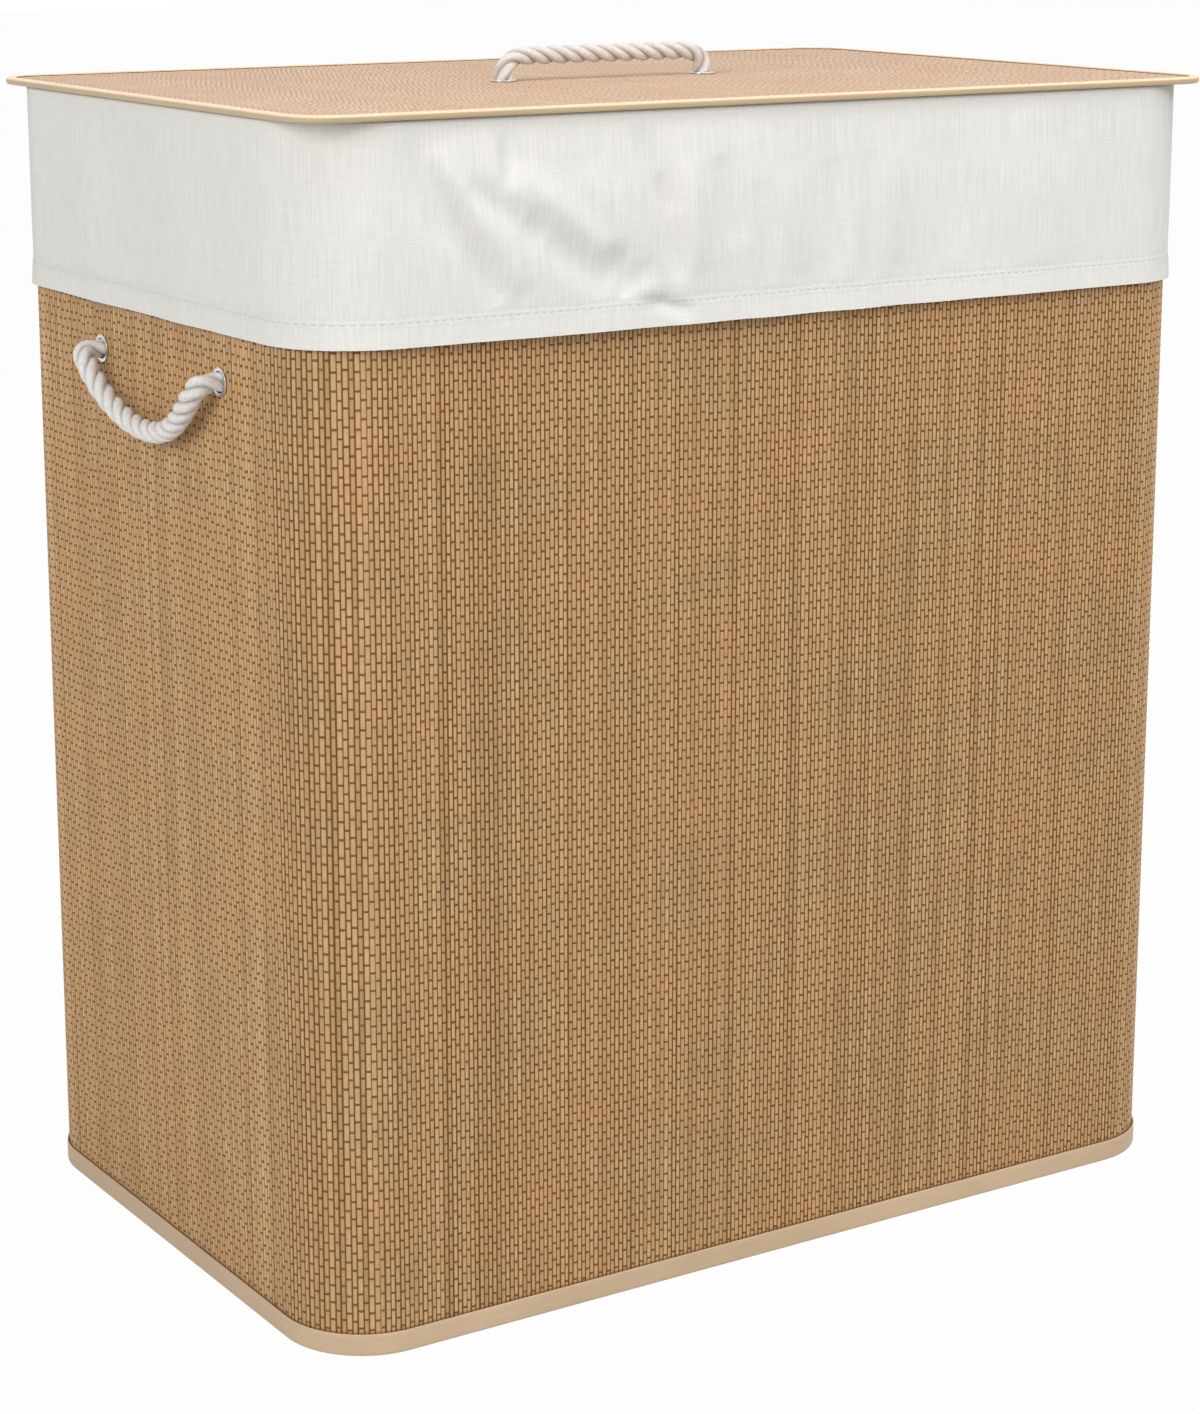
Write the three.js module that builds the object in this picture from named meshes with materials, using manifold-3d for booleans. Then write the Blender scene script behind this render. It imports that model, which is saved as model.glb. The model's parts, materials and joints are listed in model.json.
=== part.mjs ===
// A laundry hamper with two bins: a basket of woven mat with rope handles, a
// cloth liner that lifts out and is divided into two bins, and a flat lid that
// lifts off. Lengths are millimetres. +Z is up, the front faces -Y, and the
// origin is at the middle of the base, on the floor.

import * as THREE from 'three';
import { mergeVertices } from 'three/addons/utils/BufferGeometryUtils.js';
import Module from 'manifold-3d';

const wasm = await Module();
wasm.setup();

// Fits that all pieces share
const seatGap = 0.3; // between two pieces that lie against each other
const cutOverrun = 2; // how far a cutter stands out of what it cuts
const weldDistance = 0.0001;

// Basket wall
const basketWidth = 560; // over the mat, along X
const basketDepth = 360; // over the mat, along Y
const cornerRadius = 46;
const wallHeight = 623.3; // top edge of the mat above the floor
const matThickness = 2.4;
const wallLiningThickness = 0.8;
const seamStripWidth = 26;
const seamStripThickness = 0.5;

// Band round the foot, folded from one strip of tape
const footBandHeight = 12;
const footTapeThickness = 0.9;

// Base
const baseClothThickness = 0.9;
const baseBoardThickness = 4;

// Binding over the top edge, with a steel hoop sewn into it
const rimTapeThickness = 0.5;
const rimBandHeight = 18;
const hoopDiameter = 4;
const hoopDrop = 5; // from the mat's top edge to the hoop's centre

// Cloth liner
const cuffThickness = 0.9;
const cuffDrop = 107.8; // from the cuff's top to the lower edge of its hem
const cuffTuck = 38; // how far the cuff's inner leg reaches down
const cuffBend = 2; // rounding where the cuff turns over the rim
const hemHeight = 13.5;
const hemThickness = 1.4;
const bagThickness = 0.9;
const bagTopDrop = 12; // from the cuff's top to the bag's top edge
const bagShoulderDrop = 62; // from the cuff's top to where the bag hangs straight
const bagKnotClearance = 1.5; // between the bag and the rope knots inside the wall
const dividerThickness = 2;
const dividerDrop = 26; // from the cuff's top to the divider's top edge

// Folds that hang in the cuff
const foldDepth = 2.6;
const foldWidth = 22;
// Where each fold starts at the rim and ends at the hem, as shares of half the
// face that it hangs on, counted to the right as seen from outside.
const frontFoldShares = [[-0.84, -0.57], [-0.3, -0.25], [-0.13, -0.05], [0.2, 0.17], [0.63, 0.7]];
const backFoldShares = [[-0.62, -0.68], [-0.2, -0.12], [0.33, 0.38], [0.8, 0.74]];
const sideFoldShares = [[-0.55, -0.45], [0.25, 0.3]];

// Rope and its holes, the same in the handles and the lid
const ropeDiameter = 10.4;
const ropeHoleClearance = 0.4; // round the rope, in the eyelet's bore
const eyeletBarrel = 0.5; // wall of the barrel
const eyeletFlangeWidth = 1.3; // flange beyond the barrel
const eyeletFlangeThickness = 0.7;
const knotDiameter = 24;
const knotLength = 15;
const knotTail = 4;

// Rope handles of the basket
const handleSpan = 141; // between the two holes
const handleForward = 11.5; // the handle's middle ahead of the basket's middle
const handleBelowHem = 25.4; // from the hem's lower edge down to the holes
const handleStandoff = 13; // from the mat's face to the bend of the rope
const handleSag = 34;
const handleTuck = 5; // how far the rope's lowest point hangs in towards the mat
const handleSagPower = 2.2;

// Lid
const lidOverhang = 5; // beyond the mat's face on every side
const lidCornerRadius = 25;
const lidMatThickness = 0.8;
const lidBoardThickness = 0.9;
const lidLiningThickness = 0.4;
const lidTapeThickness = 0.5;
const lidBandWidth = 5;
const lidBandChamfer = 0.5;
const lidHandleSpan = 131;
const lidHandleRise = 7; // from the bend of the rope to the top of its arch
const lidHandlePower = 12;

// How finely round shapes are cut
const cornerSteps = 7;
const cuffLongSteps = 24;
const cuffShortSteps = 14;
const lidCornerSteps = 6;
const ropeSides = 8;
const ropePathPoints = 17;
const sideRopeSteps = 20;
const lidRopeSteps = 22;
const roundSides = 20;
const knotSteps = 6;
const hoopSides = 8;

// Places worked out from the sizes above, outward from the mat's outer face
const ropeRadius = ropeDiameter / 2;
const wallThickness = matThickness + seatGap + wallLiningThickness;
const hoopOffset = -wallThickness - seatGap - hoopDiameter / 2;
const rimInnerOffset = hoopOffset - hoopDiameter / 2 - seatGap - rimTapeThickness;
const rimOuterOffset = seatGap + rimTapeThickness;
const footInnerOffset = -wallThickness - seatGap - footTapeThickness;
const footOuterOffset = seatGap + footTapeThickness;
const cuffInsideOffset = Math.max(rimOuterOffset, seatGap + seamStripThickness) + seatGap;
const cuffInnerLegOffset = rimInnerOffset - seatGap;
const eyeletBore = ropeRadius + ropeHoleClearance;
const eyeletOutside = eyeletBore + eyeletBarrel;
const eyeletReach = seatGap + eyeletFlangeThickness; // of a flange beyond its wall
const ropeHole = eyeletOutside + seatGap;
const stubGap = ropeRadius + seatGap; // from the rope's bend to the fixed stub

// Heights
const wallFoot = footTapeThickness + seatGap;
const baseBoardBottom = baseClothThickness + seatGap;
const bagBottom = baseBoardBottom + baseBoardThickness + seatGap;
const rimTop = wallHeight + seatGap + rimTapeThickness;
const cuffTop = rimTop + seatGap + cuffThickness;
const hemBottom = cuffTop - cuffDrop;
const handleHeight = hemBottom - handleBelowHem;
const lidBottom = cuffTop + seatGap;
const lidLiningBottom = lidBottom + lidTapeThickness + seatGap;
const lidBoardBottom = lidLiningBottom + lidLiningThickness;
const lidMatBottom = lidBoardBottom + lidBoardThickness;
const lidMatTop = lidMatBottom + lidMatThickness;
const lidTop = lidMatTop + seatGap + lidTapeThickness;
const lidHandleBend = lidMatTop + eyeletReach + stubGap;

// The bag hangs inside the knots of the basket's handles.
const knotReach = wallThickness + eyeletReach + seatGap + knotLength + knotTail;
const bagTopOffset = cuffInnerLegOffset - cuffThickness - seatGap;
const bagOffset = -knotReach - bagKnotClearance;

const finishes = {
  mat: { color: '#b49164', roughness: 0.8, metalness: 0 },
  lidMat: { color: '#dabfa8', roughness: 0.8, metalness: 0 },
  tape: { color: '#c3aa8c', roughness: 0.75, metalness: 0 },
  lidTape: { color: '#d8bd98', roughness: 0.7, metalness: 0 },
  lining: { color: '#cdbfa6', roughness: 0.9, metalness: 0 },
  board: { color: '#a98557', roughness: 0.85, metalness: 0 },
  cotton: { color: '#deded6', roughness: 0.95, metalness: 0 },
  rope: { color: '#e6e3df', roughness: 0.9, metalness: 0 },
  steel: { color: '#8d9094', roughness: 0.4, metalness: 1 },
  nickel: { color: '#d4d4d2', roughness: 0.3, metalness: 1 },
};

const hamper = new THREE.Group();

// Adds one named piece to a group of the model.
function addPiece(parent, name, geometry, finish) {
  geometry.computeVertexNormals();
  const mesh = new THREE.Mesh(geometry, new THREE.MeshStandardMaterial(finishes[finish]));
  mesh.name = name;
  parent.add(mesh);
  return mesh;
}

// Stations round a rectangle with round corners, anticlockwise from above and
// starting at the right end of the front. Each has its place, its outward
// direction, and the face that it is on with its share of half that face.
function outline(width, depth, radius, arcSteps, longSteps = 1, shortSteps = 1) {
  const halfX = width / 2 - radius;
  const halfY = depth / 2 - radius;
  const corners = [
    { x: halfX, y: -halfY, face: 'right', steps: shortSteps },
    { x: halfX, y: halfY, face: 'back', steps: longSteps },
    { x: -halfX, y: halfY, face: 'left', steps: shortSteps },
    { x: -halfX, y: -halfY, face: 'front', steps: longSteps },
  ];
  const stations = [];
  corners.forEach((corner, k) => {
    for (let i = 0; i <= arcSteps; i++) {
      const turn = (k - 1 + i / arcSteps) * Math.PI / 2;
      const nx = Math.cos(turn);
      const ny = Math.sin(turn);
      stations.push({ x: corner.x + radius * nx, y: corner.y + radius * ny, nx, ny });
    }
    const from = stations[stations.length - 1];
    const next = corners[(k + 1) % corners.length];
    const to = { x: next.x + radius * from.nx, y: next.y + radius * from.ny };
    Object.assign(from, { face: corner.face, share: -1 });
    for (let i = 1; i < corner.steps; i++) {
      const part = i / corner.steps;
      stations.push({
        x: from.x + (to.x - from.x) * part,
        y: from.y + (to.y - from.y) * part,
        nx: from.nx,
        ny: from.ny,
        face: corner.face,
        share: 2 * part - 1,
      });
    }
  });
  return stations;
}

// A mesh from rows of points: each row joins the next, and both ways close.
function closedGrid(rows) {
  const columns = rows[0].length;
  const positions = rows.flat(2);
  const index = [];
  rows.forEach((row, i) => {
    const here = i * columns;
    const there = ((i + 1) % rows.length) * columns;
    for (let j = 0; j < columns; j++) {
      const up = (j + 1) % columns;
      index.push(here + j, there + j, there + up, here + j, there + up, here + up);
    }
  });
  const geometry = new THREE.BufferGeometry();
  geometry.setAttribute('position', new THREE.Float32BufferAttribute(positions, 3));
  geometry.setIndex(index);
  return geometry;
}

// Sweeps a closed profile of [offset, height] points round an outline. The
// profile runs anticlockwise with outward to the right and height upwards.
function sweep(stations, profile, fold = () => 0) {
  return closedGrid(stations.map((s) => profile.map(([offset, z]) => {
    const out = offset + fold(s, offset, z);
    return [s.x + s.nx * out, s.y + s.ny * out, z];
  })));
}

// A solid through levels of [offset, height] on an outline, capped at both ends.
function loft(stations, levels) {
  const positions = [];
  const index = [];
  const count = stations.length;
  for (const [offset, z] of levels) {
    for (const s of stations) positions.push(s.x + s.nx * offset, s.y + s.ny * offset, z);
  }
  for (let level = 0; level + 1 < levels.length; level++) {
    for (let i = 0; i < count; i++) {
      const a = level * count + i;
      const b = level * count + (i + 1) % count;
      index.push(a, b, b + count, a, b + count, a + count);
    }
  }
  const bottom = positions.length / 3;
  positions.push(0, 0, levels[0][1]);
  positions.push(0, 0, levels[levels.length - 1][1]);
  const last = (levels.length - 1) * count;
  for (let i = 0; i < count; i++) {
    const next = (i + 1) % count;
    index.push(bottom, next, i);
    index.push(bottom + 1, last + i, last + next);
  }
  const geometry = new THREE.BufferGeometry();
  geometry.setAttribute('position', new THREE.Float32BufferAttribute(positions, 3));
  geometry.setIndex(index);
  return geometry;
}

// A flat plate with the outline's shape.
function plate(stations, offset, bottom, thickness) {
  return loft(stations, [[offset, bottom], [offset, bottom + thickness]]);
}

function solidOf(geometry) {
  const bare = geometry.clone();
  bare.deleteAttribute('normal');
  bare.deleteAttribute('uv');
  const merged = mergeVertices(bare, weldDistance);
  return new wasm.Manifold(new wasm.Mesh({
    numProp: 3,
    vertProperties: new Float32Array(merged.getAttribute('position').array),
    triVerts: new Uint32Array(merged.getIndex().array),
  }));
}

function geometryOf(solid) {
  const mesh = solid.getMesh();
  const geometry = new THREE.BufferGeometry();
  geometry.setAttribute('position', new THREE.BufferAttribute(mesh.vertProperties, 3));
  geometry.setIndex(new THREE.BufferAttribute(mesh.triVerts, 1));
  return geometry;
}

// Cuts round holes through a piece. Each hole is a cylinder's geometry in place.
function cutHoles(geometry, holes) {
  const cut = holes.reduce((solid, hole) => solid.subtract(solidOf(hole)), solidOf(geometry));
  return geometryOf(cut);
}

// The cylinder that cuts one rope hole through the basket's wall
function sideHole(hole) {
  const length = 2 * (wallThickness + cutOverrun);
  const cutter = new THREE.CylinderGeometry(ropeHole, ropeHole, length, roundSides);
  cutter.rotateZ(Math.PI / 2);
  return cutter.translate(hole.side * basketWidth / 2, hole.y, handleHeight);
}

// The cylinder that cuts one rope hole through the lid's layers
function lidHole(x) {
  const length = 2 * (lidTop - lidBottom + cutOverrun);
  const cutter = new THREE.CylinderGeometry(ropeHole, ropeHole, length, roundSides);
  cutter.rotateX(Math.PI / 2);
  return cutter.translate(x, 0, lidMatTop);
}

// A rolled eyelet set in a wall of the given thickness. Its axis is Y, with the
// wall's outer face at zero and the outside above it.
function eyeletGeometry(thickness) {
  const flange = eyeletOutside + eyeletFlangeWidth;
  const inner = -thickness - seatGap;
  const profile = [
    [eyeletBore, inner - eyeletFlangeThickness],
    [flange, inner - eyeletFlangeThickness],
    [flange, inner],
    [eyeletOutside, inner],
    [eyeletOutside, seatGap],
    [flange, seatGap],
    [flange, eyeletReach],
    [eyeletBore, eyeletReach],
    [eyeletBore, inner - eyeletFlangeThickness],
  ];
  return new THREE.LatheGeometry(profile.map(([r, h]) => new THREE.Vector2(r, h)), roundSides);
}

// The fixed end of a rope: a stub through the wall, and the knot that stops it
// behind the wall. Its axis is Y, as the eyelet's is, and the stub's end is at top.
function ropeEndGeometry(thickness, top) {
  const knotTop = -thickness - eyeletReach - seatGap;
  const knotBottom = knotTop - knotLength;
  const bulge = knotDiameter / 2 - ropeRadius;
  const profile = [[0, knotBottom - knotTail], [ropeRadius, knotBottom - knotTail]];
  for (let i = 0; i <= knotSteps; i++) {
    const share = i / knotSteps;
    profile.push([ropeRadius + bulge * Math.sin(Math.PI * share), knotBottom + knotLength * share]);
  }
  profile.push([ropeRadius, top], [0, top]);
  return new THREE.LatheGeometry(profile.map(([r, h]) => new THREE.Vector2(r, h)), roundSides / 2);
}

// A rope along a curve, with a ball at each end that sits on the handle's axis.
function ropeGeometry(points, steps) {
  const section = new THREE.Shape(Array.from({ length: ropeSides }, (_, i) => {
    const turn = (i / ropeSides) * 2 * Math.PI;
    return new THREE.Vector2(ropeRadius * Math.cos(turn), ropeRadius * Math.sin(turn));
  }));
  const path = new THREE.CatmullRomCurve3(points);
  const tube = new THREE.ExtrudeGeometry(section, { steps, extrudePath: path, bevelEnabled: false });
  let rope = solidOf(tube);
  for (const end of [points[0], points[points.length - 1]]) {
    const ball = new THREE.SphereGeometry(ropeRadius, ropeSides, ropeSides - 2);
    rope = rope.add(solidOf(ball.translate(end.x, end.y, end.z)));
  }
  return geometryOf(rope);
}

// The points of a rope held at both ends. place gives the point at a share from
// -1 to 1 along the rope's span.
function ropePoints(place) {
  const last = ropePathPoints - 1;
  return Array.from({ length: ropePathPoints }, (_, i) => place(2 * i / last - 1));
}

const wallStations = outline(basketWidth, basketDepth, cornerRadius, cornerSteps);
const sides = [{ name: 'left', side: -1 }, { name: 'right', side: 1 }];
const ends = [
  { name: 'front', y: -handleForward - handleSpan / 2 },
  { name: 'back', y: -handleForward + handleSpan / 2 },
];
const handleHoles = sides.flatMap(({ name, side }) => ends.map((end) => ({
  name: `${name}_${end.name}`,
  side,
  y: end.y,
})));

// Basket: the mat wall with its lining, its seam and its bindings
function buildWall(basket) {
  const cutters = handleHoles.map(sideHole);
  const mat = sweep(wallStations, [
    [-matThickness, wallFoot], [0, wallFoot], [0, wallHeight], [-matThickness, wallHeight],
  ]);
  addPiece(basket, 'mat_wall', cutHoles(mat, cutters), 'mat');

  const liningOutside = -matThickness - seatGap;
  const lining = sweep(wallStations, [
    [-wallThickness, wallFoot], [liningOutside, wallFoot],
    [liningOutside, wallHeight], [-wallThickness, wallHeight],
  ]);
  addPiece(basket, 'wall_lining', cutHoles(lining, cutters), 'lining');

  const stripBottom = footBandHeight + seatGap;
  const stripHeight = wallHeight - rimBandHeight - seatGap - stripBottom;
  const strip = new THREE.BoxGeometry(seamStripWidth, seamStripThickness, stripHeight);
  const stripY = basketDepth / 2 + seatGap + seamStripThickness / 2;
  addPiece(basket, 'seam_strip', strip.translate(0, stripY, stripBottom + stripHeight / 2), 'tape');
}

// A channel folded from tape, open at the top for the foot and at the bottom
// for the rim.
function buildBindings(basket) {
  const footChannel = [
    [footInnerOffset, 0], [footOuterOffset, 0],
    [footOuterOffset, footBandHeight], [seatGap, footBandHeight],
    [seatGap, footTapeThickness], [-wallThickness - seatGap, footTapeThickness],
    [-wallThickness - seatGap, footBandHeight], [footInnerOffset, footBandHeight],
  ];
  addPiece(basket, 'foot_binding', sweep(wallStations, footChannel), 'tape');

  const rimBottom = wallHeight - rimBandHeight;
  const rimInside = rimInnerOffset + rimTapeThickness;
  const rimUnder = rimTop - rimTapeThickness;
  const rimChannel = [
    [rimInnerOffset, rimBottom], [rimInside, rimBottom], [rimInside, rimUnder],
    [seatGap, rimUnder], [seatGap, rimBottom], [rimOuterOffset, rimBottom],
    [rimOuterOffset, rimTop], [rimInnerOffset, rimTop],
  ];
  addPiece(basket, 'rim_binding', sweep(wallStations, rimChannel), 'tape');

  const hoopRadius = hoopDiameter / 2;
  const hoopCentre = wallHeight - hoopDrop;
  const hoop = Array.from({ length: hoopSides }, (_, i) => {
    const turn = (i / hoopSides) * 2 * Math.PI;
    return [hoopOffset + hoopRadius * Math.cos(turn), hoopCentre + hoopRadius * Math.sin(turn)];
  });
  addPiece(basket, 'rim_hoop', sweep(wallStations, hoop), 'steel');
}

function buildBase(basket) {
  const inside = footInnerOffset - seatGap;
  addPiece(basket, 'base_cloth', plate(wallStations, inside, 0, baseClothThickness), 'lining');
  const board = plate(wallStations, inside, baseBoardBottom, baseBoardThickness);
  addPiece(basket, 'base_board', board, 'board');
}

// Rope handles: eyelets and knotted rope ends in the wall, and on each side a
// hanging rope that turns about the line through its two bends.
function buildHandles(basket) {
  const bendX = basketWidth / 2 + handleStandoff;
  for (const hole of handleHoles) {
    const eyelet = addPiece(basket, `${hole.name}_eyelet`, eyeletGeometry(wallThickness), 'nickel');
    const end = ropeEndGeometry(wallThickness, handleStandoff - stubGap);
    const knot = addPiece(basket, `${hole.name}_rope_end`, end, 'rope');
    for (const piece of [eyelet, knot]) {
      piece.position.set(hole.side * basketWidth / 2, hole.y, handleHeight);
      piece.rotation.z = -hole.side * Math.PI / 2;
    }
  }
  for (const { name, side } of sides) {
    const points = ropePoints((share) => {
      const hang = 1 - Math.abs(share) ** handleSagPower;
      const x = side * (bendX - handleTuck * hang ** 2);
      return new THREE.Vector3(x, share * handleSpan / 2 - handleForward, -handleSag * hang);
    });
    const rope = addPiece(basket, `${name}_rope_handle`, ropeGeometry(points, sideRopeSteps), 'rope');
    rope.position.z = handleHeight;
  }
}

// How far a fold pushes the cuff out at a station and a height.
function cuffFold(station, height) {
  const folds = {
    front: frontFoldShares,
    back: backFoldShares,
    left: sideFoldShares,
    right: sideFoldShares,
  }[station.face];
  if (!folds) return 0;
  const long = station.face === 'front' || station.face === 'back';
  const half = (long ? basketWidth : basketDepth) / 2 - cornerRadius;
  const down = (cuffTop - height) / cuffDrop;
  const push = folds.map(([rim, hem]) => {
    const away = (station.share - (rim + (hem - rim) * down)) * half / foldWidth;
    return Math.exp(-away * away);
  });
  return foldDepth * Math.max(...push) * Math.min(1, 2 * down);
}

function buildLiner(liner) {
  const cuffOutside = cuffInsideOffset + cuffThickness;
  const hemOutside = cuffInsideOffset + hemThickness;
  const legInside = cuffInnerLegOffset - cuffThickness;
  const legBottom = cuffTop - cuffTuck;
  const under = cuffTop - cuffThickness;
  const middle = (hemBottom + hemHeight + cuffTop) / 2;
  const stations = outline(
    basketWidth, basketDepth, cornerRadius, cornerSteps, cuffLongSteps, cuffShortSteps,
  );
  const profile = [
    [cuffInsideOffset, hemBottom], [hemOutside, hemBottom],
    [hemOutside, hemBottom + hemHeight], [cuffOutside, middle],
    [cuffOutside, cuffTop - cuffBend], [cuffOutside - cuffBend, cuffTop],
    [legInside + cuffBend, cuffTop], [legInside, cuffTop - cuffBend],
    [legInside, legBottom], [cuffInnerLegOffset, legBottom],
    [cuffInnerLegOffset, under], [cuffInsideOffset, under],
  ];
  const fold = (s, offset, z) => (offset < cuffInsideOffset || z > under ? 0 : cuffFold(s, z));
  addPiece(liner, 'liner_cuff', sweep(stations, profile, fold), 'cotton');

  const bagTop = cuffTop - bagTopDrop;
  const shoulder = cuffTop - bagShoulderDrop;
  const outside = solidOf(loft(wallStations, [
    [bagOffset, bagBottom], [bagOffset, shoulder], [bagTopOffset, bagTop],
  ]));
  const inside = solidOf(loft(wallStations, [
    [bagOffset - bagThickness, bagBottom + bagThickness],
    [bagOffset - bagThickness, shoulder],
    [bagTopOffset - bagThickness, bagTop + cutOverrun],
  ]));
  addPiece(liner, 'liner_bag', geometryOf(outside.subtract(inside)), 'cotton');

  // The divider fills the bag from front to back and widens with its shoulder.
  const dividerTop = cuffTop - dividerDrop;
  const rise = (dividerTop - shoulder) / (bagTop - shoulder);
  const clear = basketDepth / 2 - bagThickness - seatGap;
  const low = clear + bagOffset;
  const high = clear + bagOffset + (bagTopOffset - bagOffset) * rise - seatGap;
  const bottom = bagBottom + bagThickness + seatGap;
  const shape = new THREE.Shape([
    [-low, bottom], [low, bottom], [low, shoulder],
    [high, dividerTop], [-high, dividerTop], [-low, shoulder],
  ].map(([y, z]) => new THREE.Vector2(y, z)));
  const panel = new THREE.ExtrudeGeometry(shape, { depth: dividerThickness, bevelEnabled: false });
  panel.translate(0, 0, -dividerThickness / 2);
  panel.rotateX(Math.PI / 2);
  panel.rotateZ(Math.PI / 2);
  addPiece(liner, 'liner_divider', panel, 'cotton');
}

function buildLid(lid) {
  const holes = [-lidHandleSpan / 2, lidHandleSpan / 2];
  const stations = outline(
    basketWidth + 2 * lidOverhang, basketDepth + 2 * lidOverhang, lidCornerRadius, lidCornerSteps,
  );
  const inside = -lidTapeThickness - seatGap;
  const layers = [
    ['lid_lining', lidLiningBottom, lidLiningThickness, 'lining'],
    ['lid_board', lidBoardBottom, lidBoardThickness, 'board'],
    ['lid_mat', lidMatBottom, lidMatThickness, 'lidMat'],
  ];
  for (const [name, bottom, thickness, finish] of layers) {
    const layer = plate(stations, inside, bottom, thickness);
    addPiece(lid, name, cutHoles(layer, holes.map(lidHole)), finish);
  }

  const bandTop = lidTop - lidTapeThickness;
  const bandBottom = lidBottom + lidTapeThickness;
  const channel = [
    [-lidBandWidth, lidBottom], [-lidBandChamfer, lidBottom],
    [0, lidBottom + lidBandChamfer], [0, lidTop - lidBandChamfer],
    [-lidBandChamfer, lidTop], [-lidBandWidth, lidTop],
    [-lidBandWidth, bandTop], [-lidTapeThickness, bandTop],
    [-lidTapeThickness, bandBottom], [-lidBandWidth, bandBottom],
  ];
  addPiece(lid, 'lid_binding', sweep(stations, channel), 'lidTape');

  const thickness = lidMatTop - lidLiningBottom;
  ['left', 'right'].forEach((name, i) => {
    const eyelet = addPiece(lid, `lid_${name}_eyelet`, eyeletGeometry(thickness), 'nickel');
    const end = ropeEndGeometry(thickness, lidHandleBend - lidMatTop - stubGap);
    const knot = addPiece(lid, `lid_${name}_rope_end`, end, 'rope');
    for (const piece of [eyelet, knot]) {
      piece.position.set(holes[i], 0, lidMatTop);
      piece.rotation.x = Math.PI / 2;
    }
  });

  const points = ropePoints((share) => {
    const rise = lidHandleRise * (1 - Math.abs(share) ** lidHandlePower);
    return new THREE.Vector3(share * lidHandleSpan / 2, 0, rise);
  });
  const rope = addPiece(lid, 'lid_rope_handle', ropeGeometry(points, lidRopeSteps), 'rope');
  rope.position.z = lidHandleBend;
}

buildWall(hamper);
buildBindings(hamper);
buildBase(hamper);
buildHandles(hamper);
buildLiner(hamper);
buildLid(hamper);

export default hamper;
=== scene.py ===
"""A laundry hamper with two bins: a basket of woven mat with rope handles, a cloth liner that is
divided into two bins, and a flat lid with a rope handle. Lengths are metres and +Z is up."""

import json
import math
from contextlib import contextmanager
from typing import NamedTuple

import bpy
import numpy as np
from bpy.props import FloatProperty, FloatVectorProperty, PointerProperty
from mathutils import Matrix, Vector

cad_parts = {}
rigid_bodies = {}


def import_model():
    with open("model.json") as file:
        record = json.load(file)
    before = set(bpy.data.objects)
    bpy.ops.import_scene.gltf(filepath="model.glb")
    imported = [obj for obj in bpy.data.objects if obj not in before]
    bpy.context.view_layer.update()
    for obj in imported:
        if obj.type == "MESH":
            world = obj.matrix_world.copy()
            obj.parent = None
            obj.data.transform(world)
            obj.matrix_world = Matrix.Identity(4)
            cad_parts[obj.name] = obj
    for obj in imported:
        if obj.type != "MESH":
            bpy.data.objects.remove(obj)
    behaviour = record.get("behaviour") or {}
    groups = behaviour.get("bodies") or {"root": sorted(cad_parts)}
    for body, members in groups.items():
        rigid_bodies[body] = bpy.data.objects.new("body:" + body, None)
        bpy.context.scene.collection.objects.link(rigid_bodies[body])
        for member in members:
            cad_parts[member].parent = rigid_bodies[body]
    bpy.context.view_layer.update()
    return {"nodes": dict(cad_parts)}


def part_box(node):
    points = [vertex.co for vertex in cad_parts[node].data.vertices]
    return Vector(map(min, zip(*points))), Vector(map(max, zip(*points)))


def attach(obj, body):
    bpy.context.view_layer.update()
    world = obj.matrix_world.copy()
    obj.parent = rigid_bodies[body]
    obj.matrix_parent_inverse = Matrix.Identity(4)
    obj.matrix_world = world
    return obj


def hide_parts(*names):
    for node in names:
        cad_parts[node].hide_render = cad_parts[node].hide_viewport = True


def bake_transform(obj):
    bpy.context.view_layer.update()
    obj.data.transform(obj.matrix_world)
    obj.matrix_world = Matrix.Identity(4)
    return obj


bl_info = {
    "name": "Laundry hamper with two bins",
    "version": (1, 0, 0),
    "blender": (4, 5, 0),
    "location": "3D View > Sidebar > Hamper",
    "description": "Models a woven laundry hamper with rope handles, a divided liner and a lid",
    "category": "Add Mesh",
}

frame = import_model()

MM = 0.001
TURN = 2 * math.pi

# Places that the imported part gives
WALL_LOW, WALL_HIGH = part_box("mat_wall")
WIDTH = WALL_HIGH.x - WALL_LOW.x
DEPTH = WALL_HIGH.y - WALL_LOW.y
FOOT_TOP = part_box("foot_binding")[1].z
RIM_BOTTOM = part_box("rim_binding")[0].z
RIM_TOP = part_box("rim_binding")[1].z
CUFF_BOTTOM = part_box("liner_cuff")[0].z
CUFF_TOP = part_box("liner_cuff")[1].z
BAG_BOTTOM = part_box("liner_bag")[0].z
BAG_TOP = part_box("liner_bag")[1].z
DIVIDER_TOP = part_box("liner_divider")[1].z
LID_LOW, LID_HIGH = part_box("lid_binding")
LID_MAT_LOW, LID_MAT_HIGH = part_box("lid_mat")
LID_LINING_LOW, LID_LINING_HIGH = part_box("lid_lining")
BASE_CLOTH_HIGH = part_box("base_cloth")[1]

# Layers of the wall, outward from the mat's outer face
MAT_BACK = -2.4 * MM
LINING_OUTSIDE = -2.7 * MM
LINING_INSIDE = -3.5 * MM
FOOT_OUTSIDE, FOOT_INSIDE = 1.2 * MM, -4.7 * MM
RIM_OUTSIDE, RIM_INSIDE = 0.8 * MM, -8.6 * MM
CUFF_OUTSIDE, CUFF_INSIDE = 2.0 * MM, -9.8 * MM
CUFF_LEG_BOTTOM = CUFF_TOP - 38 * MM
BAG_TOP_OFFSET, BAG_OFFSET = -10.1 * MM, -25.3 * MM
BAG_SHOULDER = CUFF_TOP - 62 * MM
BASE_INSET = 5.0 * MM  # of the base, from the mat's outer face
SEAT_GAP = 0.3 * MM  # between two pieces that lie against each other
LINER_CLOTH = 0.8 * MM  # thickness of the liner's cloth
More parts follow.
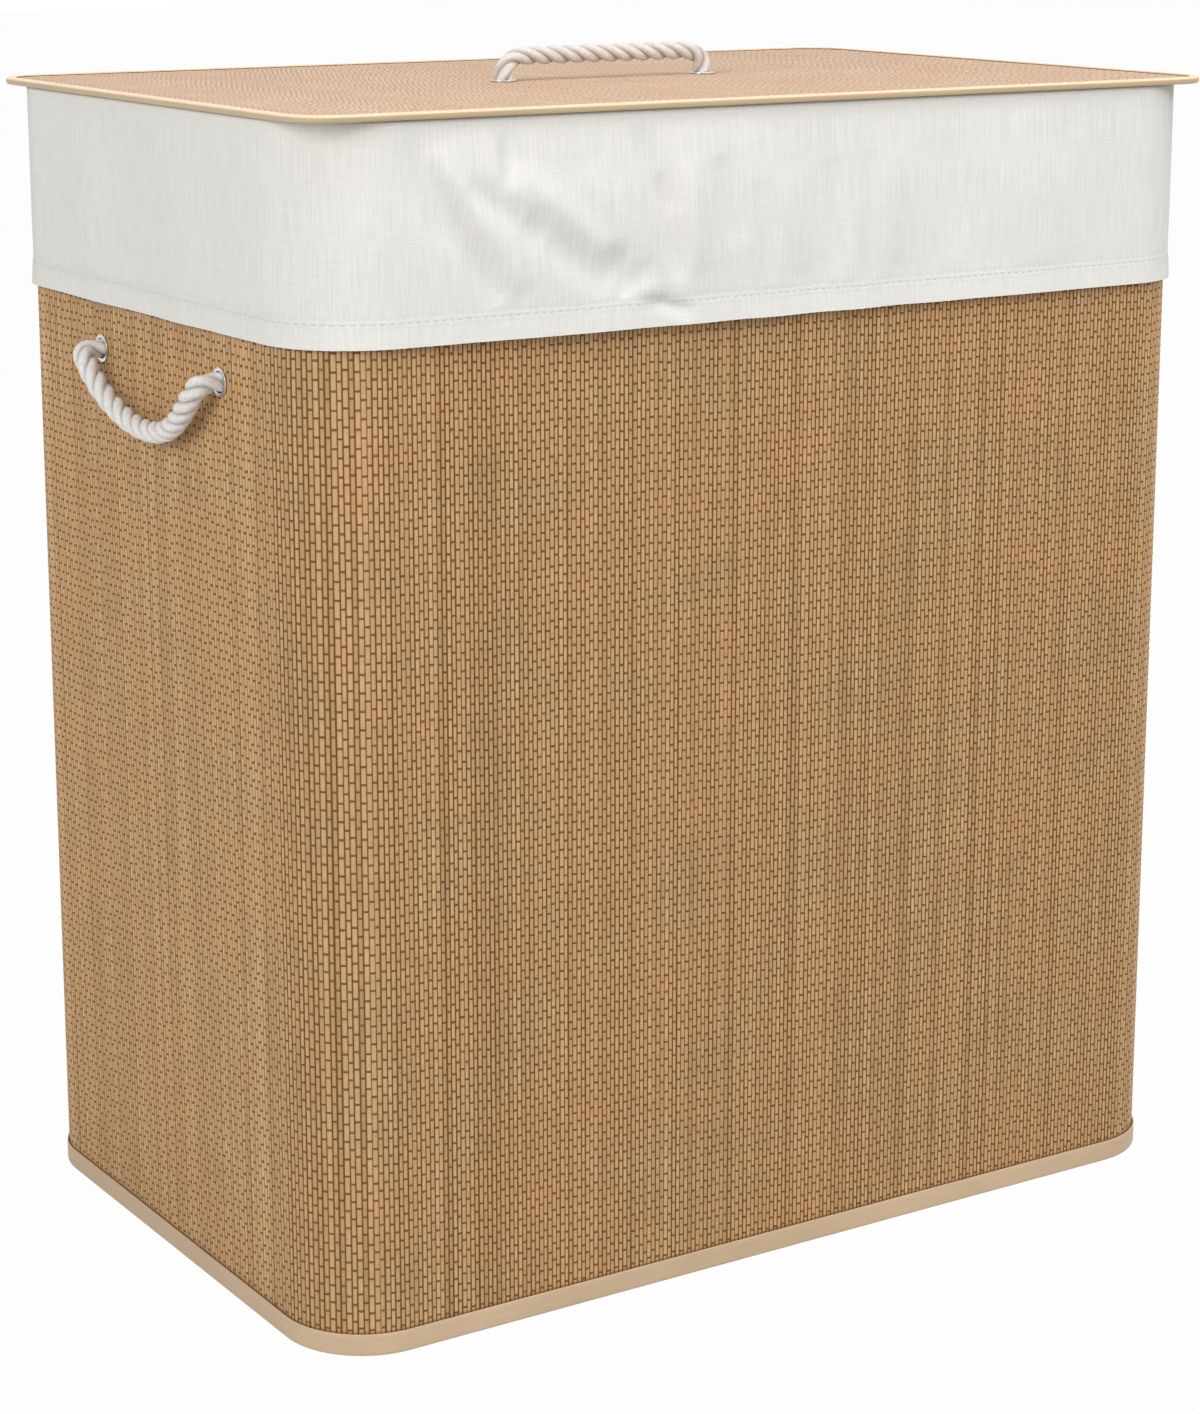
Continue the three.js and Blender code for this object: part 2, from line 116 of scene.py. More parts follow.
SEAM_DROP = 1.5 * MM  # from the top of the cuff's hem down to its seam

# Rope holes, ropes and knots
SIDES = (("left", -1), ("right", 1))
HOLE_RADIUS = 6.4 * MM
EYELET_BORE, EYELET_BARREL, EYELET_FLANGE = 5.6 * MM, 6.1 * MM, 7.4 * MM
EYELET_REACH = 1.0 * MM
HANDLE_HEIGHT = 492.1 * MM
HANDLE_HOLES_Y = (-82 * MM, 59 * MM)
HANDLE_STANDOFF, HANDLE_SAG, HANDLE_TUCK, HANDLE_POWER = 13 * MM, 34 * MM, 5 * MM, 2.2
LID_HOLES_X = (-65.5 * MM, 65.5 * MM)
LID_ROPE_BEND, LID_ROPE_RISE, LID_ROPE_POWER = 635 * MM, 7 * MM, 24
SIDE_SWELL, LID_SWELL = 0.12, -0.03  # of the ropes where they are free, as shares
ROPE_POINTS = 17
STRAND_OUT, STRAND_RADIUS = 0.235, 0.265  # as shares of the rope's diameter
KNOT_FACE = 4.8 * MM  # from the wall's outer face to the knot behind it
LID_KNOT_TOP = LID_LINING_LOW.z - EYELET_REACH - SEAT_GAP
KNOT_DIAMETER, KNOT_RISE, KNOT_TURNS, KNOT_POINTS = 24 * MM, 7.4 * MM, 1.75, 46

# Place and width of each lamp
LAMPS = {
    "key": ((1.0, -2.1, 2.2), 1.2),
    "fill": ((-2.5, -1.1, 1.6), 1.6),
    "top": ((0.3, -0.9, 3.1), 1.2),
}
FLOOR_SIZE = 30

# Folds of the cuff: where each starts at the rim and ends at the hem, as shares of half the face
FOLD_DEPTH, FOLD_WIDTH = 2.6 * MM, 22 * MM
FRONT_FOLDS = ((-0.84, -0.57), (-0.3, -0.25), (-0.13, -0.05), (0.2, 0.17), (0.63, 0.7))
BACK_FOLDS = ((-0.62, -0.68), (-0.2, -0.12), (0.33, 0.38), (0.8, 0.74))
SIDE_FOLDS = ((-0.55, -0.45), (0.25, 0.3))


# Sizes, colours and the view, as a user may change them


def number(name, description, default, **settings):
    return FloatProperty(name=name, description=description, default=default, **settings)


def length(name, description, default):
    return number(name, description, default, min=0, unit="LENGTH", precision=5)


def power(name, description, default):
    return number(name, description, default, min=0, subtype="POWER", unit="POWER")


def linear(red, green, blue):
    """A colour as the shader takes it, from values of 0 to 255 as a screen shows them."""
    shares = (red / 255, green / 255, blue / 255)
    return tuple(s / 12.92 if s <= 0.04045 else ((s + 0.055) / 1.055) ** 2.4 for s in shares)


def colour(name, description, *shown):
    return FloatVectorProperty(
        name=name, description=description, default=linear(*shown), subtype="COLOR", min=0, max=1
    )


class HamperSizes(bpy.types.PropertyGroup):
    """Sizes of the hamper's fine parts"""

    corner_radius: length("Wall corner", "Radius of the basket's corners", 46 * MM)
    lid_corner: length("Lid corner", "Radius of the lid's corners", 25 * MM)
    stick_pitch: length("Stick pitch", "From one stick of the wall's mat to the next", 2.6 * MM)
    stick_depth: length("Stick depth", "How far a stick of the wall stands out", 0.5 * MM)
    stick_gap: length("Stick gap", "Between two sticks of the wall's mat", 0.2 * MM)
    side_sticks: number(
        "Side sticks", "How wide the sides' sticks are against the front's", 1.17,
        min=1, max=1.5, subtype="FACTOR",
    )
    weft_pitch: length("Weft pitch", "Between two thread loops on one stick", 9.3 * MM)
    weft_height: length("Weft height", "Height of one thread loop", 1.5 * MM)
    lid_stick_pitch: length("Lid stick pitch", "From one stick of the lid to the next", 1.5 * MM)
    lid_weft_pitch: length("Lid weft pitch", "Between two thread loops on the lid", 6.2 * MM)
    rope_diameter: length("Rope", "Diameter of the rope", 10.4 * MM)
    rope_lay: length("Rope lay", "Length in which a strand goes once round", 32 * MM)
    stitch_pitch: length("Stitch pitch", "From one stitch to the next", 4.6 * MM)
    stitch_length: length("Stitch length", "Length of one stitch", 3.0 * MM)
    hem_height: length("Hem", "Height of the cuff's hem", 13.5 * MM)
    cloth_pitch: length("Cloth thread", "From one thread of the liner's cloth to the next", 0.9 * MM)


class HamperColours(bpy.types.PropertyGroup):
    """Colours of the hamper's finishes"""

    stick_light: colour("Light stick", "The palest sticks of the wall", 223, 186, 137)
    stick_dark: colour("Dark stick", "The darkest sticks of the wall", 158, 123, 83)
    weft: colour("Weft", "Thread that binds the sticks", 124, 82, 34)
    tape: colour("Tape", "Binding round the foot and the rim", 205, 178, 146)
    lid_light: colour("Light lid stick", "The palest sticks of the lid", 236, 210, 187)
    lid_dark: colour("Dark lid stick", "The darkest sticks of the lid", 209, 182, 158)
    lid_weft: colour("Lid weft", "Thread that binds the lid's sticks", 191, 161, 134)
    lid_tape: colour("Lid tape", "Binding round the lid", 196, 173, 138)
    # Painted highlight: a pale colour for the upper fold of the lid's binding, where light from above
    # catches it
    lid_fold_highlight: colour("Lid tape's fold", "Upper fold of the lid's binding", 243, 214, 175)
    cotton: colour("Cotton", "Cloth of the liner", 233, 231, 225)
    lining: colour("Lining", "Cloth behind the mat and on the base", 205, 192, 168)
    rope: colour("Rope", "Cotton of the side ropes", 240, 236, 232)
    # Painted shade and a painted warm reflection of the lid: the side ropes' cotton, a little darker
    # and warmer
    lid_rope_shaded: colour("Lid rope", "Cotton of the lid's rope", 238, 230, 223)
    board: colour("Board", "Fibreboard of the base and the lid", 170, 134, 88)
    steel: colour("Steel", "Wire in the rim", 140, 144, 148)
    nickel: colour("Nickel", "Plating of the eyelets", 228, 228, 226)
    floor: colour("Floor", "Floor that the hamper stands on", 208, 208, 208)


class HamperView(bpy.types.PropertyGroup):
    """The camera and the light"""

    place: FloatVectorProperty(
        name="Camera", description="Place of the camera", size=3, subtype="TRANSLATION",
        unit="LENGTH", default=(-0.9915, -1.5404, 0.7415),
    )
    yaw: number(
        "Yaw", "How far the camera is turned to the right of +Y", math.radians(32.69),
        subtype="ANGLE",
    )
    pitch: number("Pitch", "How far the camera looks down", math.radians(12.5), subtype="ANGLE")
    lens: number("Lens", "Focal length of the lens", 83.3, min=1, subtype="DISTANCE_CAMERA")
    shift: number("Shift", "Upward shift of the lens, as a share of the frame", -0.08)
    key_power: power("Key light", "Power of the lamp in front", 27.5)
    fill_power: power("Fill light", "Power of the lamp on the left", 41)
    top_power: power("Top light", "Power of the lamp overhead", 30)
    sky: number("Sky", "Strength of the light from all round", 0.4, min=0)


def sizes():
    return bpy.context.scene.hamper_sizes


def colours():
    return bpy.context.scene.hamper_colours


# Handling of meshes


def set_mode(mode):
    bpy.ops.object.mode_set(mode=mode)


def select_none():
    active = bpy.context.view_layer.objects.active
    if active and active.mode != "OBJECT":
        set_mode("OBJECT")
    bpy.ops.object.select_all(action="DESELECT")


def make_active(piece):
    select_none()
    piece.select_set(True)
    bpy.context.view_layer.objects.active = piece


def added(command, **settings):
    """Runs a command of Blender's that adds an object. Returns the new object."""
    select_none()
    command(**settings)
    return bpy.context.object


@contextmanager
def editing(piece, kind=None, chosen=None):
    """Edit mode, with all of a piece selected or with its chosen vertices or edges."""
    make_active(piece)
    set_mode("EDIT")
    bpy.ops.mesh.select_all(action="SELECT")
    if kind:
        bpy.ops.mesh.select_mode(type="EDGE" if kind == "edges" else "VERT")
        bpy.ops.mesh.select_all(action="DESELECT")
        set_mode("OBJECT")
        getattr(piece.data, kind).foreach_set("select", chosen)
        set_mode("EDIT")
    yield
    set_mode("OBJECT")


def read(items, name, width=1, kind=float):
    """One property of all the items, as an array with a row for each."""
    flat = np.empty(width * len(items), kind)
    items.foreach_get(name, flat)
    return flat.reshape(-1, width) if width > 1 else flat


def points_of(piece):
    return read(piece.data.vertices, "co", 3)


def move_points(piece, points):
    piece.data.vertices.foreach_set("co", np.ascontiguousarray(points, float).ravel())
    piece.data.update()


def set_value(piece, name, values):
    """Writes a number for each point of a piece, or one for all, for its material to read."""
    mesh = piece.data
    layer = mesh.attributes.get(name) or mesh.attributes.new(name, "FLOAT", "POINT")
    layer.data.foreach_set("value", np.full(len(mesh.vertices), values, np.float32))


def get_value(piece, name):
    return read(piece.data.attributes[name].data, "value", kind=np.float32)


def scale_map(piece, width, height):
    """Makes a grid's own map as large as its cloth, in metres."""
    layer = piece.data.uv_layers.active.data
    layer.foreach_set("uv", (read(layer, "uv", 2) * (width, height)).ravel())


def finish_with(piece, kind, **settings):
    make_active(piece)
    modifier = piece.modifiers.new(kind.title(), kind)
    for name, value in settings.items():
        setattr(modifier, name, value)
    bpy.ops.object.modifier_apply(modifier=modifier.name)


def thicken(piece, thickness, even=False):
    """Gives a sheet its thickness, on its inner side."""
    finish_with(piece, "SOLIDIFY", thickness=thickness, offset=-1, use_even_offset=even)


def soften_edges(piece, width):
    finish_with(piece, "BEVEL", width=width, segments=2, limit_method="ANGLE")


def in_rows(piece, count, step):
    """Repeats a piece at equal steps."""
    offset = {"use_relative_offset": False, "use_constant_offset": True}
    finish_with(piece, "ARRAY", count=count, constant_offset_displace=step, **offset)


def weld(piece, gap=0.001 * MM, turn_out=False):
    with editing(piece):
        bpy.ops.mesh.remove_doubles(threshold=gap)
        if turn_out:
            bpy.ops.mesh.normals_make_consistent(inside=False)


def join(pieces):
    make_active(pieces[0])
    for piece in pieces[1:]:
        piece.select_set(True)
    bpy.ops.object.join()
    return bpy.context.view_layer.objects.active


def finish_piece(piece, name, body, slot, look, *nodes, sharp=50):
    """Smooths and names a piece, gives it its look and hangs it on the body it moves with.

    Edges that turn by more than sharp, in degrees, stay sharp."""
    make_active(piece)
    bpy.ops.object.shade_smooth_by_angle(angle=math.radians(sharp))
    piece.name = name
    piece.data.name = name
    if look:
        piece.data.materials.clear()
        piece.data.materials.append(finish(look))
    if nodes:
        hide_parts(*nodes)
    if body:
        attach(piece, body)


def finish_node(name, look):
    """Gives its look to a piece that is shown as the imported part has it."""
    frame["nodes"][name].material_slots[0].material = finish(look)


def add_grid(columns, rows):
    """A flat grid. Returns it with each point's share along it and its row."""
    counts = {"x_subdivisions": columns, "y_subdivisions": rows}
    grid = added(bpy.ops.mesh.primitive_grid_add, size=1, **counts)
    points = points_of(grid) + 0.5
    return grid, points[:, 0], np.rint(points[:, 1] * rows).astype(int)


def ramp(distance, width):
    """0 up to no distance, 1 from a width on, and even between."""
    return np.clip(distance / width, 0, 1)


def bell(distance, width, power=2):
    """1 at no distance, and less further off."""
    return np.exp(-((distance / width) ** power))


def rounded(corners, radius, steps=4):
    """A path through corners, each but the first and the last rounded off."""
    corners = [np.array(c, float) for c in corners]
    path = [corners[0]]
    for before, corner, after in zip(corners, corners[1:], corners[2:]):
        start = corner + (before - corner) * radius / np.linalg.norm(before - corner)
        end = corner + (after - corner) * radius / np.linalg.norm(after - corner)
        for t in np.linspace(0, 1, steps + 1):
            path.append(start * (1 - t) ** 2 + 2 * corner * t * (1 - t) + end * t**2)
    path.append(corners[-1])
    return np.array(path)


def refined(path, step):
    """The same path with points no further apart than a step."""
    made = [path[0]]
    for start, end in zip(path, path[1:]):
        count = max(1, math.ceil(np.linalg.norm(end - start) / step))
        made += [start + (end - start) * i / count for i in range(1, count + 1)]
    return np.array(made)


def distances(route):
    """How far along a route each of its points lies."""
    return np.r_[0, np.cumsum(np.linalg.norm(np.diff(route, axis=0), axis=1))]


def route_length(route):
    return float(distances(route)[-1])


def folded(start, height, end, radius):
    """A path of (outward, height) points, from the start to a fold at a height and to the end."""
    corners = [start, (start[0], height), (end[0], height), end]
    return refined(rounded(corners, radius), 3 * MM)


# The wall is made flat, as its mat is, and then bent round the corners. Flat pieces stand along X
# from the middle of the front, with their outside towards -Y.


def half_straights(width, depth, radius):
    return width / 2 - radius, depth / 2 - radius, radius * math.pi / 2


def way_round(width, depth, radius):
    across, back, corner = half_straights(width, depth, radius)
    return 4 * (across + back + corner)


def bent_round(points, width, depth, radius):
    """Bends flat points round a rectangle with round corners."""
    across, back, corner = half_straights(width, depth, radius)
    whole = way_round(width, depth, radius)
    along = (points[:, 0] + whole / 2) % whole - whole / 2
    side = np.where(along < 0, -1.0, 1.0)
    knots = np.cumsum([0, across, corner, 2 * back, corner, across])
    reach = np.abs(along)
    turn = np.radians(np.interp(reach, knots, [0, 0, 90, 90, 180, 180]))
    middle_x = np.interp(reach, knots, [0, across, across, across, across, 0])
    middle_y = np.interp(reach, knots, [-back, -back, -back, back, back, back])
    out = radius - points[:, 1]
    return np.c_[
        side * (middle_x + np.sin(turn) * out),
        middle_y - np.cos(turn) * out,
        points[:, 2],
    ]


def bend_wall(piece):
    move_points(piece, bent_round(points_of(piece), WIDTH, DEPTH, sizes().corner_radius))


def wrap_wall(piece, thickness):
    """Bends a strip round the wall, joins its ends and thickens it inward."""
    bend_wall(piece)
    weld(piece)
    thicken(piece, thickness, even=True)


def wall_way():
    return way_round(WIDTH, DEPTH, sizes().corner_radius)


def add_strip(path, columns, whole):
    """A flat strip whose rows lie on a path of (outward, height) points."""
    strip, share, row = add_grid(columns, len(path) - 1)
    move_points(strip, np.c_[(share - 0.5) * whole, -path[row, 0], path[row, 1]])
    scale_map(strip, whole, route_length(path))
    return strip


def bore(piece, place, turn, narrow=1.0):
    """Cuts a rope hole through a piece. turn is the drill's rotation, narrow its own X scale."""
    drill = added(
        bpy.ops.mesh.primitive_cylinder_add, vertices=32, radius=HOLE_RADIUS, depth=WIDTH * 1.2,
        location=place, rotation=turn,
    )
    drill.scale.x = narrow
    finish_with(piece, "BOOLEAN", operation="DIFFERENCE", solver="EXACT", object=drill)
    bpy.data.objects.remove(drill)


def bore_wall(piece):
    for y in HANDLE_HOLES_Y:
        bore(piece, (0, y, HANDLE_HEIGHT), (0, TURN / 4, 0))


# Shader nodes


def add_node(tree, kind, values=None, **settings):
    """Adds a node. A value is a number, a colour or the socket that feeds it."""
    node = tree.nodes.new(kind)
    for name, value in settings.items():
        setattr(node, name, value)
    for name, value in (values or {}).items():
        if isinstance(value, bpy.types.NodeSocket):
            tree.links.new(value, node.inputs[name])
        else:
            node.inputs[name].default_value = value
    return node


def maths(tree, operation, first, second=0.0, *more):
    values = dict(enumerate((first, second, *more)))
    return add_node(tree, "ShaderNodeMath", values, operation=operation).outputs[0]


def weighed(tree, *parts):
    """The sum of some values, each times its weight."""
    total, *rest = [maths(tree, "MULTIPLY", value, weight) for value, weight in parts]
    for part in rest:
        total = maths(tree, "ADD", total, part)
    return total


def tint(base, shares=1.0):
    """A colour with its alpha, times one share or a share each for red, green and blue."""
    return (*np.minimum(np.multiply(base, shares), 1.0), 1.0)


def mixed(tree, share, first, second):
    """A colour that goes from the first to the second."""
    node = add_node(tree, "ShaderNodeMix", {0: share, 6: first, 7: second}, data_type="RGBA")
    return node.outputs[2]


def shaded(tree, tone, base, deep, pale=1.0):
    """A colour that goes from deep to pale, which are shares of a base."""
    return mixed(tree, tone, tint(base, deep), tint(base, pale))


def spread(tree, value, low, high, new_low=0.0, new_high=1.0):
    """Stretches the part of a value between two limits."""
    values = {0: value, 1: low, 2: high, 3: new_low, 4: new_high}
    return add_node(tree, "ShaderNodeMapRange", values).outputs[0]


def attribute(tree, name):
    return add_node(tree, "ShaderNodeAttribute", attribute_name=name).outputs["Fac"]


def object_place(tree):
    return add_node(tree, "ShaderNodeTexCoord").outputs["Object"]


def object_height(tree):
    return add_node(tree, "ShaderNodeSeparateXYZ", {0: object_place(tree)}).outputs["Z"]


def cloth_place(tree):
    return add_node(tree, "ShaderNodeTexCoord").outputs["UV"]


def stretched(tree, place, rates):
    values = {0: place, 1: rates}
    return add_node(tree, "ShaderNodeVectorMath", values, operation="MULTIPLY").outputs[0]


def noise(tree, place, rate, detail, roughness=0.5):
    values = {"Vector": place, "Scale": rate, "Detail": detail, "Roughness": roughness}
    return add_node(tree, "ShaderNodeTexNoise", values).outputs[0]


# Effects that several finishes share. Each fills a node group and gives what the group puts out.


def tone_drift(group, place, rate):
    """Soft patches of light and dark, large and small."""
    patches = noise(group, place, rate, 3.0)
    specks = noise(group, place, maths(group, "MULTIPLY", rate, 9.0), 2.0)
    return {"Patches": spread(group, patches, 0.3, 0.7), "Specks": spread(group, specks, 0.3, 0.7)}


def fibres(group, place, rates):
    """Fine streaks that run one way. The rates say how many there are per metre each way."""
    streaks = noise(group, stretched(group, place, rates), 1.0, 3.0, 0.6)
    return {"Streaks": spread(group, streaks, 0.25, 0.75)}


def plain_weave(group, place, pitch):
    """Threads that pass over and under each other, on a map in metres."""
    split = add_node(group, "ShaderNodeSeparateXYZ", {0: place})
    cells, crowns = [], []
    for axis in (0, 1):
        counted = maths(group, "DIVIDE", split.outputs[axis], pitch)
        cells.append(maths(group, "FLOOR", counted))
        wave = maths(group, "SINE", maths(group, "MULTIPLY", counted, math.pi))
        crowns.append(maths(group, "ABSOLUTE", wave))
    odd = maths(group, "PINGPONG", maths(group, "ADD", *cells), 1.0)
    values = {0: odd, 2: crowns[0], 3: crowns[1]}
    over = add_node(group, "ShaderNodeMix", values, data_type="FLOAT").outputs[0]
    along = noise(group, stretched(group, place, (80, 1000, 1)), 1.0, 2.0)
    upward = noise(group, stretched(group, place, (1000, 50, 1)), 1.0, 2.0)
    swell = spread(group, weighed(group, (along, 0.6), (upward, 1.4)), 0.7, 1.3)
    thick = maths(group, "MULTIPLY_ADD", swell, 0.3, 0.7)
    return {"Height": maths(group, "MULTIPLY", over, thick), "Slubs": swell}


EFFECTS = {
    "Tone drift": (tone_drift, "Per metre", "NodeSocketFloat", 20.0),
    "Fibres": (fibres, "Rates", "NodeSocketVector", (900, 900, 30)),
    "Plain weave": (plain_weave, "Pitch", "NodeSocketFloat", 0.001),
}


def new_effect(name):
    """The node group of an effect: it takes a place and one value more."""
    fill, label, kind, default = EFFECTS[name]
    group = bpy.data.node_groups.new(name, "ShaderNodeTree")
    group.interface.new_socket("Place", in_out="INPUT", socket_type="NodeSocketVector")
    group.interface.new_socket(label, in_out="INPUT", socket_type=kind).default_value = default
    start = group.nodes.new("NodeGroupInput")
    given = fill(group, start.outputs["Place"], start.outputs[label])
    for output in given:
        group.interface.new_socket(output, in_out="OUTPUT", socket_type="NodeSocketFloat")
    end = group.nodes.new("NodeGroupOutput")
    for output, socket in given.items():
        group.links.new(socket, end.inputs[output])
    return group


def effect(tree, name, place, value):
    """Puts an effect into a finish with a value of its own. Returns the effect's outputs."""
    group = bpy.data.node_groups.get(name) or new_effect(name)
    values = {"Place": place, EFFECTS[name][1]: value}
    return add_node(tree, "ShaderNodeGroup", values, node_tree=group).outputs


# Finishes


def new_finish(name, roughness, metallic=0.0, sheen=0.0):
    made = bpy.data.materials.new(name)
    made.use_nodes = True
    inputs = made.node_tree.nodes["Principled BSDF"].inputs
    inputs["Roughness"].default_value = roughness
    inputs["Metallic"].default_value = metallic
    inputs["Sheen Weight"].default_value = sheen
    return made, made.node_tree


def dressed(made, paint, height=None, distance=0.0, strength=0.6, rough=None):
    """Feeds a finish its colour, and its relief and its roughness where it has them."""
    tree = made.node_tree
    fed = {"Base Color": paint, "Roughness": rough}
    if height:
        values = {"Height": height, "Distance": distance, "Strength": strength}
        fed["Normal"] = add_node(tree, "ShaderNodeBump", values).outputs[0]
    for name, socket in fed.items():
        if socket:
            tree.links.new(socket, tree.nodes["Principled BSDF"].inputs[name])
    return made


def stick_finish(name, light, dark, stain_and_shade, rates):
    """Split sticks: each has its own tone, with patches and fine grain. Their flanks go dark,
    partly brown stain in the grooves and partly painted shade, and just above the foot binding
    they carry a painted shadow."""
    made, tree = new_finish(name, roughness=0.6)
    patches = effect(tree, "Tone drift", object_place(tree), 34.0)["Patches"]
    wide = effect(tree, "Tone drift", object_place(tree), 19.0)
    grain = effect(tree, "Fibres", object_place(tree), rates)["Streaks"]
    tone = weighed(tree, (attribute(tree, "tone"), 0.7), (patches, 0.2), (grain, 0.1))
    wood = mixed(tree, tone, tint(dark), tint(light))
    ruddy = maths(tree, "MULTIPLY", wide["Patches"], 0.7)
    wood = mixed(tree, ruddy, wood, tint(light, (0.86, 0.7, 0.6)))
    green = maths(tree, "MULTIPLY", wide["Specks"], 0.34)
    wood = mixed(tree, green, wood, tint(dark, (1.0, 1.12, 0.9)))
    # Painted shade and stain: each stick's flanks darken towards the stain colour
    flank = spread(tree, attribute(tree, "crown"), 0.05, 0.6, 0.2, 1.0)
    # Painted shadow: a dark line on the mat just above the foot binding
    shade = spread(tree, object_height(tree), FOOT_TOP, FOOT_TOP + 1.6 * MM, 0.3, 1.0)
    wood = mixed(tree, maths(tree, "MULTIPLY", flank, shade), tint(stain_and_shade), wood)
    rough = spread(tree, grain, 0.0, 1.0, 0.46, 0.66)
    return dressed(made, wood, grain, 0.08 * MM, rough=rough)


def weft_finish(name, base):
    """Thread of the mats, twisted and a little uneven."""
    made, tree = new_finish(name, roughness=0.8)
    grain = effect(tree, "Fibres", object_place(tree), (1500, 1500, 4000))["Streaks"]
    tone = weighed(tree, (attribute(tree, "tone"), 0.6), (grain, 0.4))
    return dressed(made, shaded(tree, tone, base, 0.55, 1.45), grain, 0.05 * MM)


def tape_finish(name, base, sheen=0.15, gloss=(0.62, 0.76), fold=None):
    """Folded binding tape: close streaks along it and a little drift. The lid's is smoother, and
    has a painted highlight along its upper fold."""
    made, tree = new_finish(name, roughness=0.7, sheen=sheen)
    streaks = effect(tree, "Fibres", cloth_place(tree), (45, 1500, 1))["Streaks"]
    weave = effect(tree, "Plain weave", cloth_place(tree), 0.45 * MM)["Height"]
    patches = effect(tree, "Tone drift", object_place(tree), 14.0)["Patches"]
    tone = weighed(tree, (streaks, 0.55), (patches, 0.45))
    cloth = shaded(tree, tone, base, 0.84, 1.1)
    if fold:
        # Painted highlight along the upper fold of the lid's binding
        highlight_band = spread(tree, object_height(tree), LID_HIGH.z - 1.2 * MM, LID_HIGH.z - 0.6 * MM)
        cloth = mixed(tree, highlight_band, cloth, tint(fold))
    return dressed(made, cloth, weave, 0.06 * MM, 0.5, rough=spread(tree, tone, 0.0, 1.0, *gloss))


def cloth_finish(name, base, pitch):
    """Plain-woven cotton with slubs. It is darker where its threads dip under one another: painted
    shade between the threads.
    """
    made, tree = new_finish(name, roughness=0.9, sheen=0.2)
    weave = effect(tree, "Plain weave", cloth_place(tree), pitch)
    patches = effect(tree, "Tone drift", object_place(tree), 9.0)["Patches"]
    # Painted shade: the weave's height darkens the cloth between its threads
    tone = weighed(tree, (weave["Height"], 0.4), (weave["Slubs"], 0.4), (patches, 0.2))
    return dressed(made, shaded(tree, tone, base, 0.82, 1.06), weave["Height"], 0.1 * MM)


def rope_finish(name, base, seam_shade_reach=0.9):
    """Cotton strands: yarns wound along each strand, and soft fuzz. The seams between strands
    are darkened with painted shade, up to a share of the rope's radius."""
    made, tree = new_finish(name, roughness=0.85, sheen=0.3)
    values = {"Vector": cloth_place(tree), "Rotation": (0, 0, -0.5)}
    wound = add_node(tree, "ShaderNodeMapping", values).outputs[0]
    yarns = effect(tree, "Fibres", wound, (60, 760, 1))["Streaks"]
    specks = effect(tree, "Tone drift", object_place(tree), 60.0)["Specks"]
    cotton = shaded(tree, weighed(tree, (yarns, 0.6), (specks, 0.4)), base, 0.72, 1.08)
    # Painted shade in the seams between the strands
    seam = spread(tree, attribute(tree, "crown"), 0.55, seam_shade_reach)
    return dressed(made, mixed(tree, seam, tint(base, 0.42), cotton), yarns, 0.25 * MM, 0.7)


def board_finish(name, base):
    """Fibreboard: fine chips with a sanded face."""
    made, tree = new_finish(name, roughness=0.85)
    drift = effect(tree, "Tone drift", object_place(tree), 160.0)
    tone = weighed(tree, (drift["Patches"], 0.5), (drift["Specks"], 0.5))
    return dressed(made, shaded(tree, tone, base, 0.75, 1.12), drift["Specks"], 0.08 * MM)


def metal_finish(name, base, roughness, rate):
    """Drawn or rolled metal with faint lines."""
    made, tree = new_finish(name, roughness, metallic=1.0)
    lines = effect(tree, "Fibres", object_place(tree), (rate, rate, rate))["Streaks"]
    rough = spread(tree, lines, 0.0, 1.0, roughness * 0.8, roughness * 1.3)
    return dressed(made, shaded(tree, lines, base, 0.82), rough=rough)


def thread_finish(name, base):
    """Sewing thread."""
    made, tree = new_finish(name, roughness=0.7, sheen=0.2)
    twist = effect(tree, "Fibres", object_place(tree), (2500, 2500, 2500))["Streaks"]
    return dressed(made, shaded(tree, twist, base, 0.78))


FINISHES = {
    # The sticks darken towards their weft's colour at the flanks, partly stain and partly painted
    # shade, and the wall's sticks also in a painted shadow just above the foot
    "Woven mat": lambda n, c: stick_finish(n, c.stick_light, c.stick_dark, c.weft, (1500, 1500, 24)),
    "Mat thread": lambda n, c: weft_finish(n, c.weft),
    "Lid mat": lambda n, c: stick_finish(n, c.lid_light, c.lid_dark, c.lid_weft, (2200, 30, 2200)),
    "Lid thread": lambda n, c: weft_finish(n, c.lid_weft),
    "Binding tape": lambda n, c: tape_finish(n, c.tape),
    "Lid tape": lambda n, c: tape_finish(
        n, c.lid_tape, sheen=0.1, gloss=(0.32, 0.44), fold=c.lid_fold_highlight
    ),
    "Liner cotton": lambda n, c: cloth_finish(n, c.cotton, sizes().cloth_pitch),
    "Lining cloth": lambda n, c: cloth_finish(n, c.lining, pitch=1.3 * MM),
    "Rope cotton": lambda n, c: rope_finish(n, c.rope),
    # The lid's rope: a shaded copy of the rope's cotton, with painted shade, a painted reflection of
    # the lid and wider painted shade in its seams
    "Lid rope cotton": lambda n, c: rope_finish(n, c.lid_rope_shaded, seam_shade_reach=1.02),
    "Nickel plate": lambda n, c: metal_finish(n, c.nickel, roughness=0.28, rate=300),
    "Steel wire": lambda n, c: metal_finish(n, c.steel, roughness=0.4, rate=500),
    "Fibreboard": lambda n, c: board_finish(n, c.board),
    "Tan thread": lambda n, c: thread_finish(n, c.tape),
    "White thread": lambda n, c: thread_finish(n, np.multiply(c.cotton, 0.8)),
}


def finish(name):
    """A finish by its name, made when it is first asked for."""
    return bpy.data.materials.get(name) or FINISHES[name](name, colours())


# The stage


